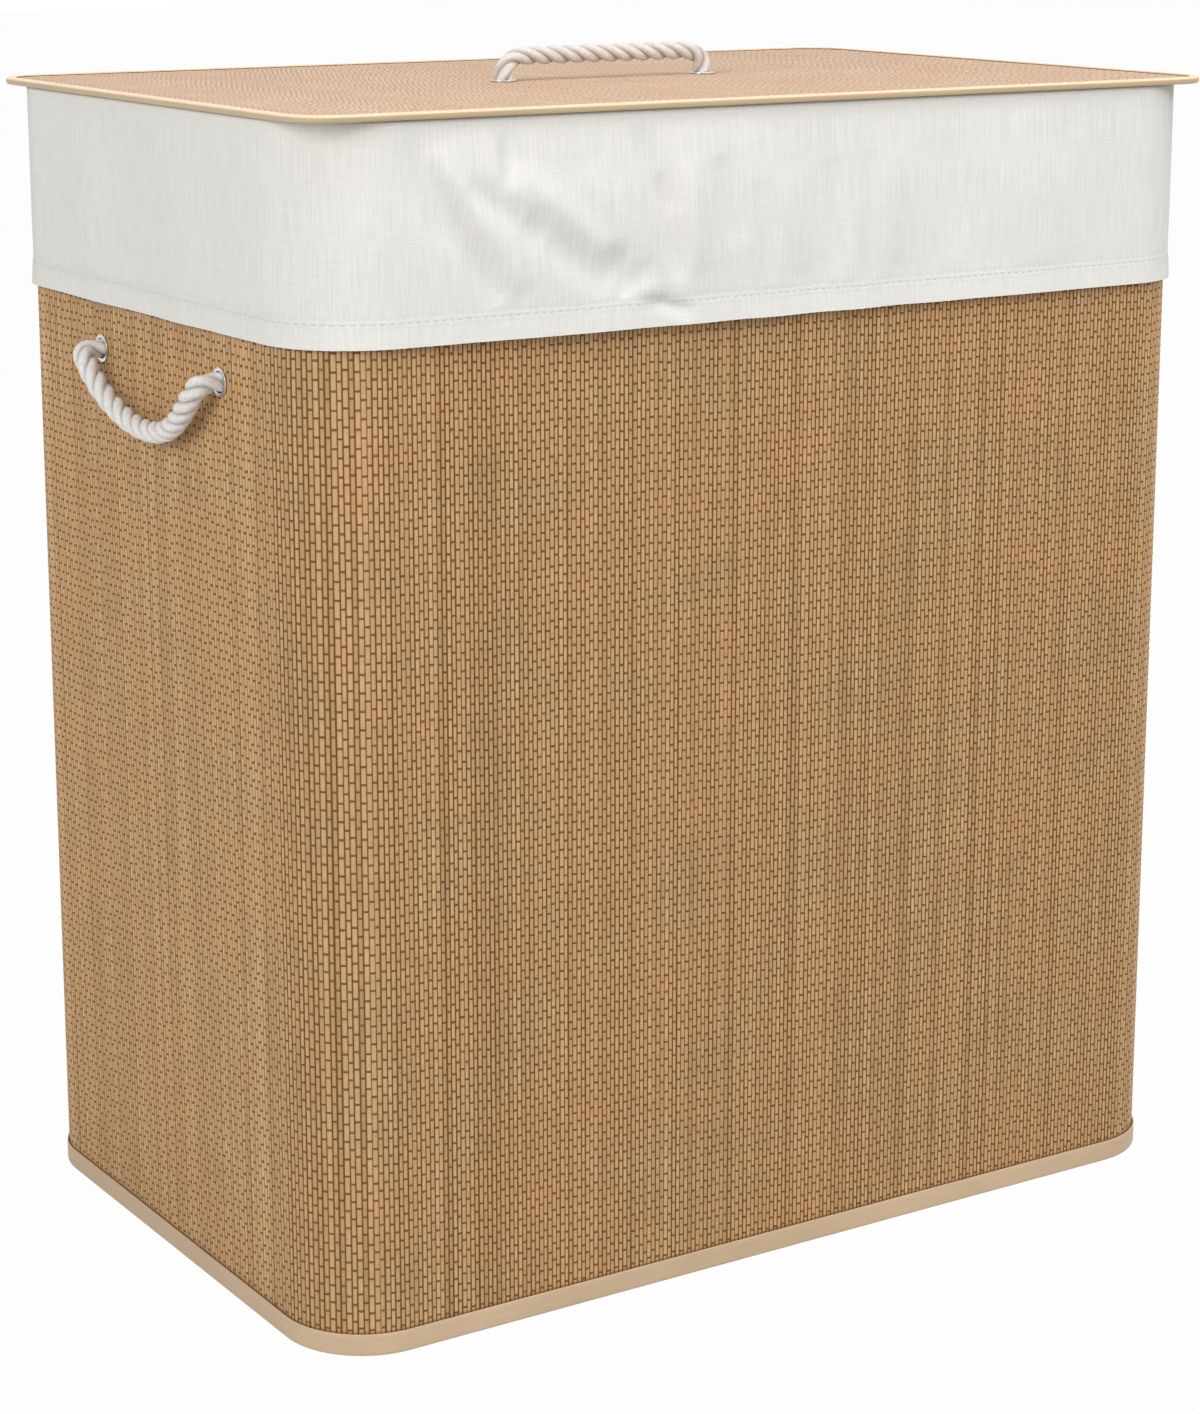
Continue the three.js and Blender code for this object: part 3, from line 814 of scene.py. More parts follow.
def camera_rays(tree):
    """1 for what the camera sees, straight or in a gloss or through glass, and else 0."""
    path = add_node(tree, "ShaderNodeLightPath")
    seen = maths(tree, "MAXIMUM", path.outputs["Is Camera Ray"], path.outputs["Is Glossy Ray"])
    return maths(tree, "MAXIMUM", seen, path.outputs["Is Transmission Ray"])


def light_sky(scene, strength):
    world = bpy.data.worlds.new("Studio")
    scene.world = world
    world.use_nodes = True
    tree = world.node_tree
    back = tree.nodes["Background"]
    back.inputs["Color"].default_value = (1, 1, 1, 1)
    power = spread(tree, camera_rays(tree), 0.0, 1.0, strength, 1.0)
    tree.links.new(power, back.inputs["Strength"])


def floor_finish():
    """A pale floor that the camera sees as nearly white, with the hamper's shadow on it."""
    made, tree = new_finish("Studio floor", roughness=0.9)
    shader = tree.nodes["Principled BSDF"]
    shader.inputs["Base Color"].default_value = tint(colours().floor)
    shader.inputs["Specular IOR Level"].default_value = 0.0
    glow = add_node(tree, "ShaderNodeEmission", {"Color": (1, 1, 1, 1), "Strength": 1.0})
    share = maths(tree, "MULTIPLY", camera_rays(tree), 0.97)
    values = {0: share, 1: shader.outputs[0], 2: glow.outputs[0]}
    both = add_node(tree, "ShaderNodeMixShader", values)
    tree.links.new(both.outputs[0], tree.nodes["Material Output"].inputs["Surface"])
    return made


def add_lamp(name, place, power, size):
    """A soft lamp that faces the middle of the hamper."""
    lamp = added(bpy.ops.object.light_add, type="AREA", location=place)
    lamp.name = name
    lamp.data.energy = power
    lamp.data.size = size
    x, y, z = np.array([0, 0, WALL_HIGH.z / 2]) - np.array(place)
    lamp.rotation_euler = (math.atan2(math.hypot(x, y), -z), 0, math.atan2(-x, y))


class HAMPER_OT_stage(bpy.types.Operator):
    """Add the floor, the light and the camera"""

    bl_idname = "hamper.stage"
    bl_label = "Stage"

    def execute(self, context):
        scene = context.scene
        view = scene.hamper_view
        scene.view_settings.view_transform = "Standard"
        light_sky(scene, view.sky)
        floor = added(bpy.ops.mesh.primitive_plane_add, size=FLOOR_SIZE)
        floor.name = "studio_floor"
        with editing(floor):
            bpy.ops.mesh.subdivide(number_cuts=3)
        floor.data.materials.append(floor_finish())
        for name, (place, size) in LAMPS.items():
            add_lamp(f"{name}_lamp", place, getattr(view, f"{name}_power"), size)
        camera = added(bpy.ops.object.camera_add, location=view.place)
        camera.rotation_euler = (TURN / 4 - view.pitch, 0, -view.yaw)
        camera.data.sensor_width = 36
        camera.data.lens = view.lens
        camera.data.shift_y = view.shift
        scene.camera = camera
        return {"FINISHED"}


# Ropes


def evenly(route, step):
    far = distances(route)
    at = np.linspace(0, far[-1], max(2, round(far[-1] / step) + 1))
    return np.c_[tuple(np.interp(at, far, values) for values in route.T)]


def softened(route, reach, step=0.8 * MM):
    """The route with its corners rounded over a reach, and its ends kept."""
    points = evenly(np.array(route, float), step)
    width = 3 * math.ceil(reach / step)
    before = 2 * points[0] - points[width:0:-1]
    after = 2 * points[-1] - points[-2 : -2 - width : -1]
    padded = np.r_[before, points, after]
    weights = np.exp(-0.5 * (np.arange(-width, width + 1) * step / reach) ** 2)
    weights /= weights.sum()
    return np.c_[tuple(np.convolve(values, weights, mode="valid") for values in padded.T)]


def side_route(side):
    """Middle line of a side rope, from the knot in front to the knot behind."""
    front, back = HANDLE_HOLES_Y
    middle, half = (front + back) / 2, (back - front) / 2
    bend = WIDTH / 2 + HANDLE_STANDOFF
    route = [(side * (WIDTH / 2 - KNOT_FACE), front, HANDLE_HEIGHT)]
    for share in np.linspace(-1, 1, ROPE_POINTS):
        hang = 1 - abs(share) ** HANDLE_POWER
        x = side * (bend - HANDLE_TUCK * hang**2)
        route.append((x, middle + share * half, HANDLE_HEIGHT - HANDLE_SAG * hang))
    route.append((side * (WIDTH / 2 - KNOT_FACE), back, HANDLE_HEIGHT))
    return softened(route, reach=5 * MM)


def lid_route():
    """Middle line of the lid's rope, from its left knot to its right one."""
    left, right = LID_HOLES_X
    route = [(left, 0, LID_KNOT_TOP)]
    for share in np.sin(np.linspace(-TURN / 4, TURN / 4, ROPE_POINTS)):
        rise = LID_ROPE_RISE * (1 - abs(share) ** LID_ROPE_POWER)
        route.append(((left + right) / 2 + share * (right - left) / 2, 0, LID_ROPE_BEND + rise))
    route.append((right, 0, LID_KNOT_TOP))
    return softened(route, reach=3.2 * MM)


def frames_along(route):
    """Two directions square to the route at each point, which don't twist along it."""
    along = np.gradient(route, axis=0)
    along /= np.linalg.norm(along, axis=1)[:, None]
    first = np.cross(along[0], (0.3, 0.9, 0.31))
    first /= np.linalg.norm(first)
    across = [first]
    for way in along[1:]:
        turned = across[-1] - way * (across[-1] @ way)
        across.append(turned / np.linalg.norm(turned))
    return np.array(across), np.cross(along, across)


def add_tube(route, radius, sides, fat):
    """A round tube along a route, closed at both ends. fat swells each of its rings."""
    tube, share, row = add_grid(len(route) - 1, sides)
    ring = np.rint(share * (len(route) - 1)).astype(int)
    across, beside = frames_along(route)
    turn = (row / sides * TURN)[:, None]
    out = across[ring] * np.cos(turn) + beside[ring] * np.sin(turn)
    move_points(tube, route[ring] + out * (radius * fat[ring])[:, None])
    scale_map(tube, route_length(route), TURN * radius)
    weld(tube)
    with editing(tube):
        bpy.ops.mesh.fill_holes(sides=0)
        bpy.ops.mesh.normals_make_consistent(inside=False)
    return tube


def add_rope(route, strand_sides=10, swell=0.0):
    """Three strands laid round a route. It swells by a share where it hangs free of its holes."""
    diameter, lay = sizes().rope_diameter, sizes().rope_lay
    across, beside = frames_along(route)
    far = distances(route)
    free = ramp(np.minimum(far, far[-1] - far) - 9 * MM, 8 * MM)
    fat = 1 + swell * free**2 * (3 - 2 * free)
    strands = []
    for k in range(3):
        turn = ((far / lay + k / 3) * TURN)[:, None]
        out = across * np.cos(turn) + beside * np.sin(turn)
        path = evenly(route + out * (fat * diameter * STRAND_OUT)[:, None], step=1.1 * MM)
        swelled = np.interp(np.linspace(0, far[-1], len(path)), far, fat)
        strands.append(add_tube(path, diameter * STRAND_RADIUS, strand_sides, swelled))
    rope = join(strands)
    apart = np.linalg.norm(points_of(rope)[:, None] - route[None], axis=2)
    set_value(rope, "crown", apart.min(axis=1) / (fat[apart.argmin(axis=1)] * diameter / 2))
    return rope


def knot_route():
    """A rope's end wound round itself: along Z from 0, out, round and back to the middle."""
    rope = sizes().rope_diameter
    low = 0.42 * rope  # height of the first turn's middle
    share = np.linspace(0, 1, KNOT_POINTS)
    turn = share * KNOT_TURNS * TURN
    out = (KNOT_DIAMETER - rope) / 2 * np.clip(np.minimum(share / 0.16, (1 - share) / 0.14), 0, 1)
    coil = np.c_[out * np.cos(turn), out * np.sin(turn), low + KNOT_RISE * share]
    tail = (0, 0, low + KNOT_RISE + 6 * MM)
    return softened(np.r_[[(0, 0, 0)], coil, [tail]], reach=1.6 * MM, step=0.7 * MM)


def add_knot(place, way):
    """A stopper knot that starts at a place and lies behind it, one way."""
    knot = add_rope(knot_route(), strand_sides=8)
    first = np.cross(way, (0, 0, 1) if abs(way[2]) < 0.5 else (0, 1, 0))
    turned = points_of(knot) @ np.array([first, np.cross(way, first), way], float)
    move_points(knot, turned + np.array(place))
    return knot


def wall_holes():
    """The name, the side and the place along Y of each rope hole in the wall."""
    ends = tuple(zip(("front", "back"), HANDLE_HOLES_Y))
    return [(f"{name}_{end}", side, y) for name, side in SIDES for end, y in ends]


class HAMPER_OT_rope_handles(bpy.types.Operator):
    """Add the two hanging ropes at the sides and the lid's rope"""

    bl_idname = "hamper.rope_handles"
    bl_label = "Rope handles"

    def execute(self, context):
        bend = WIDTH / 2 + HANDLE_STANDOFF
        ropes = []
        for name, side in SIDES:
            start = (side * (bend - 9 * MM), 0, HANDLE_HEIGHT)
            end = (side * bend, 0, HANDLE_HEIGHT - 8 * MM)
            ropes.append((name, side_route(side), "basket", SIDE_SWELL, "Rope cotton", start, end))
        start, end = (0, 0, LID_ROPE_BEND - 4.5 * MM), (0, 0, LID_ROPE_BEND + 2.5 * MM)
        ropes.append(("lid", lid_route(), "lid", LID_SWELL, "Lid rope cotton", start, end))
        for name, route, still, swell, look, start, end in ropes:
            rope = add_rope(route, swell=swell)
            finish_piece(rope, f"{name}_rope", None, "cotton_rope", look, f"{name}_rope_handle")
            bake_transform(rope)
        return {"FINISHED"}


class HAMPER_OT_rope_knots(bpy.types.Operator):
    """Add the stopper knots behind the wall and under the lid"""

    bl_idname = "hamper.rope_knots"
    bl_label = "Rope knots"

    def execute(self, context):
        for hole, side, y in wall_holes():
            knot = add_knot((side * (WIDTH / 2 - KNOT_FACE), y, HANDLE_HEIGHT), (-side, 0, 0))
            name, node = f"{hole}_rope_knot", f"{hole}_rope_end"
            finish_piece(knot, name, "basket", "cotton_rope", "Rope cotton", node)
        for (side_name, _), x in zip(SIDES, LID_HOLES_X):
            knot = add_knot((x, 0, LID_KNOT_TOP), (0, 0, -1))
            name, node = f"lid_{side_name}_rope_knot", f"lid_{side_name}_rope_end"
            finish_piece(knot, name, "lid", "cotton_rope", "Lid rope cotton", node)
        return {"FINISHED"}


def add_eyelet(thickness):
    """A rolled eyelet about Z, with the wall's outer face at zero."""
    inner = -thickness - SEAT_GAP
    back = inner - EYELET_REACH + SEAT_GAP
    slope = 0.1 * MM  # of a flange, down to its edge
    roll = rounded(
        [
            (EYELET_BORE, inner), (EYELET_BORE, back), (EYELET_FLANGE, back + slope),
            (EYELET_FLANGE, inner), (EYELET_BARREL, inner), (EYELET_BARREL, SEAT_GAP),
            (EYELET_FLANGE, SEAT_GAP), (EYELET_FLANGE, EYELET_REACH - slope),
            (EYELET_BORE, EYELET_REACH), (EYELET_BORE, inner),
        ],
        radius=0.14 * MM,
        steps=3,
    )
    ring, share, row = add_grid(56, len(roll) - 1)
    turn = share * TURN
    out, height = roll[row].T
    move_points(ring, np.c_[out * np.cos(turn), out * np.sin(turn), height])
    weld(ring, gap=0.01 * MM, turn_out=True)
    return ring


class HAMPER_OT_eyelets(bpy.types.Operator):
    """Add the metal rings in the rope holes"""

    bl_idname = "hamper.eyelets"
    bl_label = "Eyelets"

    def execute(self, context):
        for hole, side, y in wall_holes():
            ring = add_eyelet(-LINING_INSIDE)
            upward, across, out = points_of(ring).T
            place = np.c_[side * (WIDTH / 2 + out), side * across + y, upward + HANDLE_HEIGHT]
            move_points(ring, place)
            weld(ring, turn_out=True)
            name, node = f"{hole}_eyelet_ring", f"{hole}_eyelet"
            finish_piece(ring, name, "basket", "eyelet_metal", "Nickel plate", node)
        for (side_name, _), x in zip(SIDES, LID_HOLES_X):
            ring = add_eyelet(LID_MAT_HIGH.z - LID_LINING_LOW.z)
            move_points(ring, points_of(ring) + (x, 0, LID_MAT_HIGH.z))
            name, node = f"lid_{side_name}_eyelet_ring", f"lid_{side_name}_eyelet"
            finish_piece(ring, name, "lid", "eyelet_metal", "Nickel plate", node)
        return {"FINISHED"}


# The mats


class Weave(NamedTuple):
    """Measures and finishes of one mat, whose sticks stand along Z."""

    pitch: float  # from one stick to the next
    gap: float  # between two sticks
    deep: float  # how far a stick stands out
    bottom: float
    top: float
    cuts: int  # across a stick, so that it can sway
    weft_pitch: float  # from one loop to the next on a stick
    weft_height: float
    loop_rows: int  # of faces on a loop: 2 make a ridge and 1 a flat band
    stick_look: str
    thread_look: str


def add_stick(weave):
    """A split stick that stands at x = 0 with its crowned side out."""
    tall, radius = weave.top - weave.bottom, (weave.pitch - weave.gap) / 2
    stick = added(
        bpy.ops.mesh.primitive_cylinder_add, vertices=6, radius=radius, depth=tall,
        location=(0, 0, (weave.top + weave.bottom) / 2), rotation=(0, 0, TURN / 12),
    )
    bpy.ops.object.transform_apply()
    with editing(stick):
        bpy.ops.mesh.bisect(
            plane_co=(0, 0, 0), plane_no=(0, 1, 0), clear_outer=True, use_fill=True, threshold=1e-6
        )
    ends = points_of(stick)[read(stick.data.edges, "vertices", 2, np.int32), 2]
    with editing(stick, "edges", np.abs(ends[:, 0] - ends[:, 1]) > tall / 2):
        bpy.ops.mesh.subdivide(number_cuts=weave.cuts)
    move_points(stick, points_of(stick) * (1, weave.deep / (math.cos(TURN / 12) * radius), 1))
    return stick


def add_loop(weave):
    """One loop of thread over the stick at x = 0."""
    rows, proud = weave.loop_rows, 0.1 * MM
    loop, share, row = add_grid(3, rows)
    turn = (share - 0.5) * TURN / 2
    lift = np.where(row == 1, proud, -0.2 * proud) if rows == 2 else 0.6 * proud
    out = np.cos(turn) / math.cos(TURN / 12) * weave.deep + lift
    across = np.sin(turn) * ((weave.pitch - weave.gap) / 2 + lift)
    move_points(loop, np.c_[across, -out, (row / rows - 0.5) * weave.weft_height])
    return loop


def add_mat(weave, first, count, holes, narrow=1.0):
    """A flat piece of mat: sticks side by side, and thread loops over every other one in turn.

    first is the number of its first stick, counted along the whole mat, and narrow the width of a
    rope hole as a share of its height."""
    mat = add_stick(weave)
    in_rows(mat, count, (weave.pitch, 0, 0))
    for x, z in holes:
        bore(mat, (x, 0, z), (TURN / 4, 0, 0), narrow)
    set_value(mat, "crown", -points_of(mat)[:, 1] / weave.deep)
    set_value(mat, "weft", 0)
    mat.data.materials.append(finish(weave.stick_look))
    rows = int((weave.top - weave.bottom - weave.weft_pitch / 2) / weave.weft_pitch)
    loops = []
    for odd in (0, 1):
        loop = add_loop(weave)
        loop.data.materials.append(finish(weave.thread_look))
        start = weave.bottom + weave.weft_pitch * (0.4 + 0.5 * ((first + odd) % 2))
        move_points(loop, points_of(loop) + (odd * weave.pitch, 0, start))
        in_rows(loop, rows, (0, 0, weave.weft_pitch))
        in_rows(loop, (count + 1 - odd) // 2, (2 * weave.pitch, 0, 0))
        set_value(loop, "crown", 1)
        set_value(loop, "weft", 1)
        loops.append(loop)
    mat = join([mat, *loops])
    for x, z in holes:
        points = points_of(mat)
        drop_loops(mat, np.hypot(points[:, 0] - x, points[:, 2] - z) < HOLE_RADIUS + SEAT_GAP)
    return mat


def drop_loops(mat, gone):
    """Takes off the thread loops that have a point where gone is true."""
    lost = gone & (get_value(mat, "weft") > 0.5)
    if lost.any():
        with editing(mat, "vertices", lost):
            bpy.ops.mesh.select_linked()
            bpy.ops.mesh.delete(type="VERT")


def vary_sticks(mat, weave, first, total, seed, slip=0.05):
    """Gives each stick and each loop its own tone and a small error of its own.

    slip is how far the loops of a stick may be off, as a share of the loops' pitch."""
    pitch, deep, tall = weave.pitch, weave.deep, weave.weft_pitch / 2
    dice = np.random.default_rng(seed)
    tone = dice.beta(2.2, 2.0, total)
    aside = dice.normal(0, 0.025, total) * pitch
    sunk = dice.uniform(0, 0.14, total) * deep
    sway = dice.uniform(0.015, 0.05, total) * pitch
    phase = dice.uniform(0, TURN, total)
    bends = dice.uniform(1.5, 4.5, total)
    width = dice.uniform(0.78, 1.04, total)
    slid = dice.normal(0, slip, total) * 2 * tall
    points = points_of(mat)
    thread = get_value(mat, "weft") > 0.5
    local = np.rint(points[:, 0] / pitch).astype(int)
    stick = (local + first) % total
    rows = 97  # of tones along a stick's thread, before they repeat
    row = np.floor(points[:, 2] / tall).astype(int) % rows
    dab = dice.random((total, rows))
    set_value(mat, "tone", np.where(thread, dab[stick, row], tone[stick]))
    points[:, 0] = local * pitch + (points[:, 0] - local * pitch) * width[stick]
    bent = sway[stick] * np.sin(bends[stick] * points[:, 2] * 9 + phase[stick])
    points[:, 0] += aside[stick] + bent
    points[:, 2] += np.where(thread, slid[stick] + 0.05 * tall * (dab[stick, row] - 0.5), 0)
    points[:, 1] += sunk[stick] * (points[:, 1] < -0.2 * deep)
    move_points(mat, points)


def map_mat(mat, low, high, left, right):
    """Lays the mat's face flat on its map, with its back faces in a narrow band beside it."""
    mesh = mat.data
    layer = mesh.uv_layers.get("OFBake") or mesh.uv_layers.new(name="OFBake")
    outward = read(mesh.polygons, "normal", 3)[:, 1] <= -0.05
    outward = np.repeat(outward, read(mesh.polygons, "loop_total", kind=np.int32))
    points = points_of(mat)[read(mesh.loops, "vertex_index", kind=np.int32)]
    across = (points[:, 0] - left) / (right - left)
    upward = (points[:, 2] - low) / (high - low)
    across = np.where(outward, 0.98 * across, 0.985 + 0.015 * across)
    layer.data.foreach_set("uv", np.c_[across, upward].clip(0, 1).ravel())


def stick_places(whole, wider):
    """Places along the wall, and the same places along the flat mat that is laid on it.

    The flat mat is shorter, because its sticks are drawn wider from corner to corner at the sides."""
    across, _, corner = half_straights(WIDTH, DEPTH, sizes().corner_radius)
    along = np.linspace(-whole, 2 * whole, 6001)
    reach = np.abs((along + whole / 2) % whole - whole / 2)
    inside = np.minimum(reach - across, whole / 2 - across - reach)
    pace = 1 + (wider - 1) * np.clip(inside / (corner / 2), 0, 1)
    steps = np.diff(along) * (1 / pace[1:] + 1 / pace[:-1]) / 2
    flat = np.r_[0, np.cumsum(steps)]
    return along, flat - np.interp(0, along, flat)


class HAMPER_OT_wall_mat(bpy.types.Operator):
    """Add the woven mat of the wall, in four panels that meet in the corners"""

    bl_idname = "hamper.wall_mat"
    bl_label = "Wall mat"

    def execute(self, context):
        s = sizes()
        whole = wall_way()
        along, flat = stick_places(whole, s.side_sticks)
        flat_whole = np.interp(whole, along, flat)
        total = 2 * round(flat_whole / s.stick_pitch / 2)
        pitch = flat_whole / total
        weave = Weave(
            pitch, s.stick_gap, s.stick_depth, WALL_LOW.z + SEAT_GAP, WALL_HIGH.z, cuts=11,
            weft_pitch=s.weft_pitch, weft_height=s.weft_height, loop_rows=2,
            stick_look="Woven mat", thread_look="Mat thread",
        )
        across, back, corner = half_straights(WIDTH, DEPTH, s.corner_radius)
        turns = [-across - corner / 2, across + corner / 2]
        turns += [turns[1] + corner + 2 * back, turns[0] + whole - corner - 2 * back]
        turns.append(turns[0] + whole)
        marks = [round(np.interp(mark, along, flat) / pitch) for mark in turns]
        holes = {"front": [], "back": []}
        for name, side in SIDES:
            places = [side * (across + corner + back + y) % whole for y in HANDLE_HOLES_Y]
            holes[name] = np.interp(places, along, flat)
        for name, start, stop in zip(("front", "right", "back", "left"), marks, marks[1:]):
            first, count = (start + 0.5) * pitch, stop - start
            bores = [(x - first, HANDLE_HEIGHT) for x in holes[name]]
            mat = add_mat(weave, start, count, bores, 1 / s.side_sticks)
            vary_sticks(mat, weave, start, total, seed=41)
            map_mat(mat, WALL_LOW.z, WALL_HIGH.z, -0.5 * pitch, (count - 0.5) * pitch)
            points = points_of(mat) + (first, s.stick_depth, 0)
            points[:, 0] = np.interp(points[:, 0], flat, along)
            move_points(mat, points)
            bend_wall(mat)
            finish_piece(mat, f"mat_{name}", "basket", "woven_mat", None, "mat_wall")
        return {"FINISHED"}


class HAMPER_OT_wall_layers(bpy.types.Operator):
    """Add a dark sheet behind the mat, partly painted shade in the gaps between its sticks, and
    the cloth inside the wall
    """

    bl_idname = "hamper.wall_layers"
    bl_label = "Wall layers"

    def execute(self, context):
        whole = wall_way()
        low, high = WALL_LOW.z + SEAT_GAP, WALL_HIGH.z - 0.2 * MM
        backing = sizes().stick_depth + 0.02 * MM
        layers = (
            # A sheet in the mat thread's finish behind the sticks: it stands for the thread behind
            # them and is partly painted shade in the gaps between them
            ("mat_backing", "woven_mat", "Mat thread", "mat_wall", -backing, MAT_BACK, 5),
            (
                "wall_lining_cloth", "lining_cloth", "Lining cloth", "wall_lining",
                LINING_OUTSIDE, LINING_INSIDE, 40,
            ),
        )
        for name, slot, look, node, outside, inside, rows in layers:
            path = np.array([(outside, z) for z in np.linspace(low, high, rows)])
            layer = add_strip(path, 320, whole)
            wrap_wall(layer, outside - inside)
            bore_wall(layer)
            finish_piece(layer, name, "basket", slot, look, node)
        return {"FINISHED"}


# Bindings


def add_binding(path, thickness, columns, ripple, seed):
    """Tape round the wall, folded along a path of (outward, height) points."""
    tape = add_strip(path, columns, wall_way())
    points = points_of(tape)
    points[:, 1] += ripple * waves(points[:, 0], points[:, 2], seed)
    move_points(tape, points)
    wrap_wall(tape, thickness)
    return tape


def waves(x, z, seed, count=9, finest=60):
    """Soft ripples from -1 to 1 that meet where the strip's ends meet."""
    dice = np.random.default_rng(seed)
    whole = wall_way()
    total = np.zeros(len(x))
    for _ in range(count):
        around = dice.integers(4, finest)
        tilt = dice.uniform(-25, 25)
        total += np.sin(TURN * around * x / whole + tilt * z + dice.uniform(0, TURN))
    return total / count


class HAMPER_OT_foot_binding(bpy.types.Operator):
    """Add the tape that is folded round the foot"""

    bl_idname = "hamper.foot_binding"
    bl_label = "Foot binding"

    def execute(self, context):
        inside, outside = (FOOT_INSIDE, FOOT_TOP), (FOOT_OUTSIDE, FOOT_TOP)
        path = folded(inside, 0.0, outside, radius=1.6 * MM)
        tape = add_binding(path, thickness=0.8 * MM, columns=380, ripple=0.06 * MM, seed=5)
        soften_edges(tape, 0.25 * MM)
        finish_piece(tape, "foot_tape", "basket", "binding_tape", "Binding tape", "foot_binding")
        return {"FINISHED"}


class HAMPER_OT_rim(bpy.types.Operator):
    """Add the tape over the rim, and finish the wire in it"""

    bl_idname = "hamper.rim"
    bl_label = "Rim"

    def execute(self, context):
        outside, inside = (RIM_OUTSIDE, RIM_BOTTOM), (RIM_INSIDE, RIM_BOTTOM)
        path = folded(outside, RIM_TOP, inside, radius=0.9 * MM)
        tape = add_binding(path, thickness=0.5 * MM, columns=320, ripple=0.03 * MM, seed=6)
        finish_piece(tape, "rim_tape", "basket", "binding_tape", "Binding tape", "rim_binding")
        finish_node("rim_hoop", "Steel wire")
        return {"FINISHED"}


class HAMPER_OT_seam_strip(bpy.types.Operator):
    """Add the tape over the seam at the back, with its stitches"""

    bl_idname = "hamper.seam_strip"
    bl_label = "Seam strip"

    def execute(self, context):
        low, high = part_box("seam_strip")
        wide, tall, middle = high.x - low.x, high.z - low.z, (low.z + high.z) / 2
        heights = np.linspace(low.z, high.z, 120)
        strip, share, row = add_grid(14, len(heights) - 1)
        edge_drop = 0.12 * MM
        ripple = 0.05 * MM * np.sin(row * 0.9 + share * 5) ** 2
        out = high.y - edge_drop * (2 * share - 1) ** 8 - ripple
        move_points(strip, np.c_[(0.5 - share) * wide, out, heights[row]])
        scale_map(strip, wide, tall)
        thicken(strip, high.y - low.y - edge_drop)
        finish_piece(strip, "seam_tape", "basket", "binding_tape", "Binding tape", "seam_strip")
        rows = []
        for side in (-1, 1):
            stitches = add_stitches(tall - 10 * MM)
            along, out, across = points_of(stitches).T
            x = side * (wide / 2 - 3 * MM)
            move_points(stitches, np.c_[across + x, high.y - out, along + middle])
            weld(stitches, turn_out=True)
            rows.append(stitches)
        finish_piece(join(rows), "seam_stitches", "basket", "binding_tape", "Tan thread")
        return {"FINISHED"}


def add_stitches(whole):
    """A row of stitches along X. Each dives into the cloth at both ends."""
    s = sizes()
    count = int(whole / s.stitch_pitch)
    pitch = whole / count
    stitch = added(
        bpy.ops.mesh.primitive_cylinder_add, vertices=6, radius=0.26 * MM, depth=s.stitch_length,
        rotation=(0, TURN / 4, 0),
    )
    bpy.ops.object.transform_apply()
    with editing(stitch):
        for share in (-0.3, 0.3):
            bpy.ops.mesh.select_all(action="SELECT")
            bpy.ops.mesh.bisect(plane_co=(share * s.stitch_length, 0, 0), plane_no=(1, 0, 0))
    points = points_of(stitch)
    share = points[:, 0] / (s.stitch_length / 2)
    points[:, 1] += 0.34 * MM * share**4
    points[:, 2] *= 1 + 0.15 * (1 - share**2)
    move_points(stitch, points)
    in_rows(stitch, count, (pitch, 0, 0))
    move_points(stitch, points_of(stitch) - ((count - 1) * pitch / 2, 0, 0))
    return stitch


# The base


def add_round_plate(wide, deep, radius, top, thickness):
    """A flat plate with round corners, made for cloth: its map is in metres."""
    plate = added(bpy.ops.mesh.primitive_plane_add, size=1, location=(0, 0, top))
    plate.scale = (wide, deep, 1)
    bpy.ops.object.transform_apply()
    with editing(plate):
        bpy.ops.mesh.bevel(offset=radius, segments=12, affect="VERTICES", clamp_overlap=True)
        bpy.ops.mesh.select_all(action="SELECT")
        bpy.ops.mesh.inset(thickness=4 * MM)
    corner = read(plate.data.loops, "vertex_index", kind=np.int32)
    plate.data.uv_layers.active.data.foreach_set("uv", points_of(plate)[corner, :2].ravel())
    thicken(plate, thickness)
    soften_edges(plate, 0.15 * MM)
    return plate


class HAMPER_OT_base(bpy.types.Operator):
    """Add the cloth of the floor, and finish the board that lies on it"""

    bl_idname = "hamper.base"
    bl_label = "Base"

    def execute(self, context):
        radius = sizes().corner_radius - BASE_INSET
        wide, deep = WIDTH - 2 * BASE_INSET, DEPTH - 2 * BASE_INSET
        cloth = add_round_plate(wide, deep, radius, BASE_CLOTH_HIGH.z, BASE_CLOTH_HIGH.z)
        name = "base_cloth_sheet"
        finish_piece(cloth, name, "basket", "lining_cloth", "Lining cloth", "base_cloth")
        finish_node("base_board", "Fibreboard")
        return {"FINISHED"}


# The liner


def fold_push(x, z):
    """How far the main folds push the cuff out."""
    across, back, corner = half_straights(WIDTH, DEPTH, sizes().corner_radius)
    whole = wall_way()
    side = across + corner + back
    faces = [
        (0, across, FRONT_FOLDS), (side, back, SIDE_FOLDS),
        (whole / 2, across, BACK_FOLDS), (-side, back, SIDE_FOLDS),
    ]
    down = (CUFF_TOP - z) / (CUFF_TOP - CUFF_BOTTOM)
    push = np.zeros(len(x))
    for middle, half, folds in faces:
        for rim, hem in folds:
            place = middle + (rim + (hem - rim) * down) * half
            away = (x - place + whole / 2) % whole - whole / 2
            push = np.maximum(push, bell(away, FOLD_WIDTH))
    return FOLD_DEPTH * push * np.clip(2 * down, 0, 1)


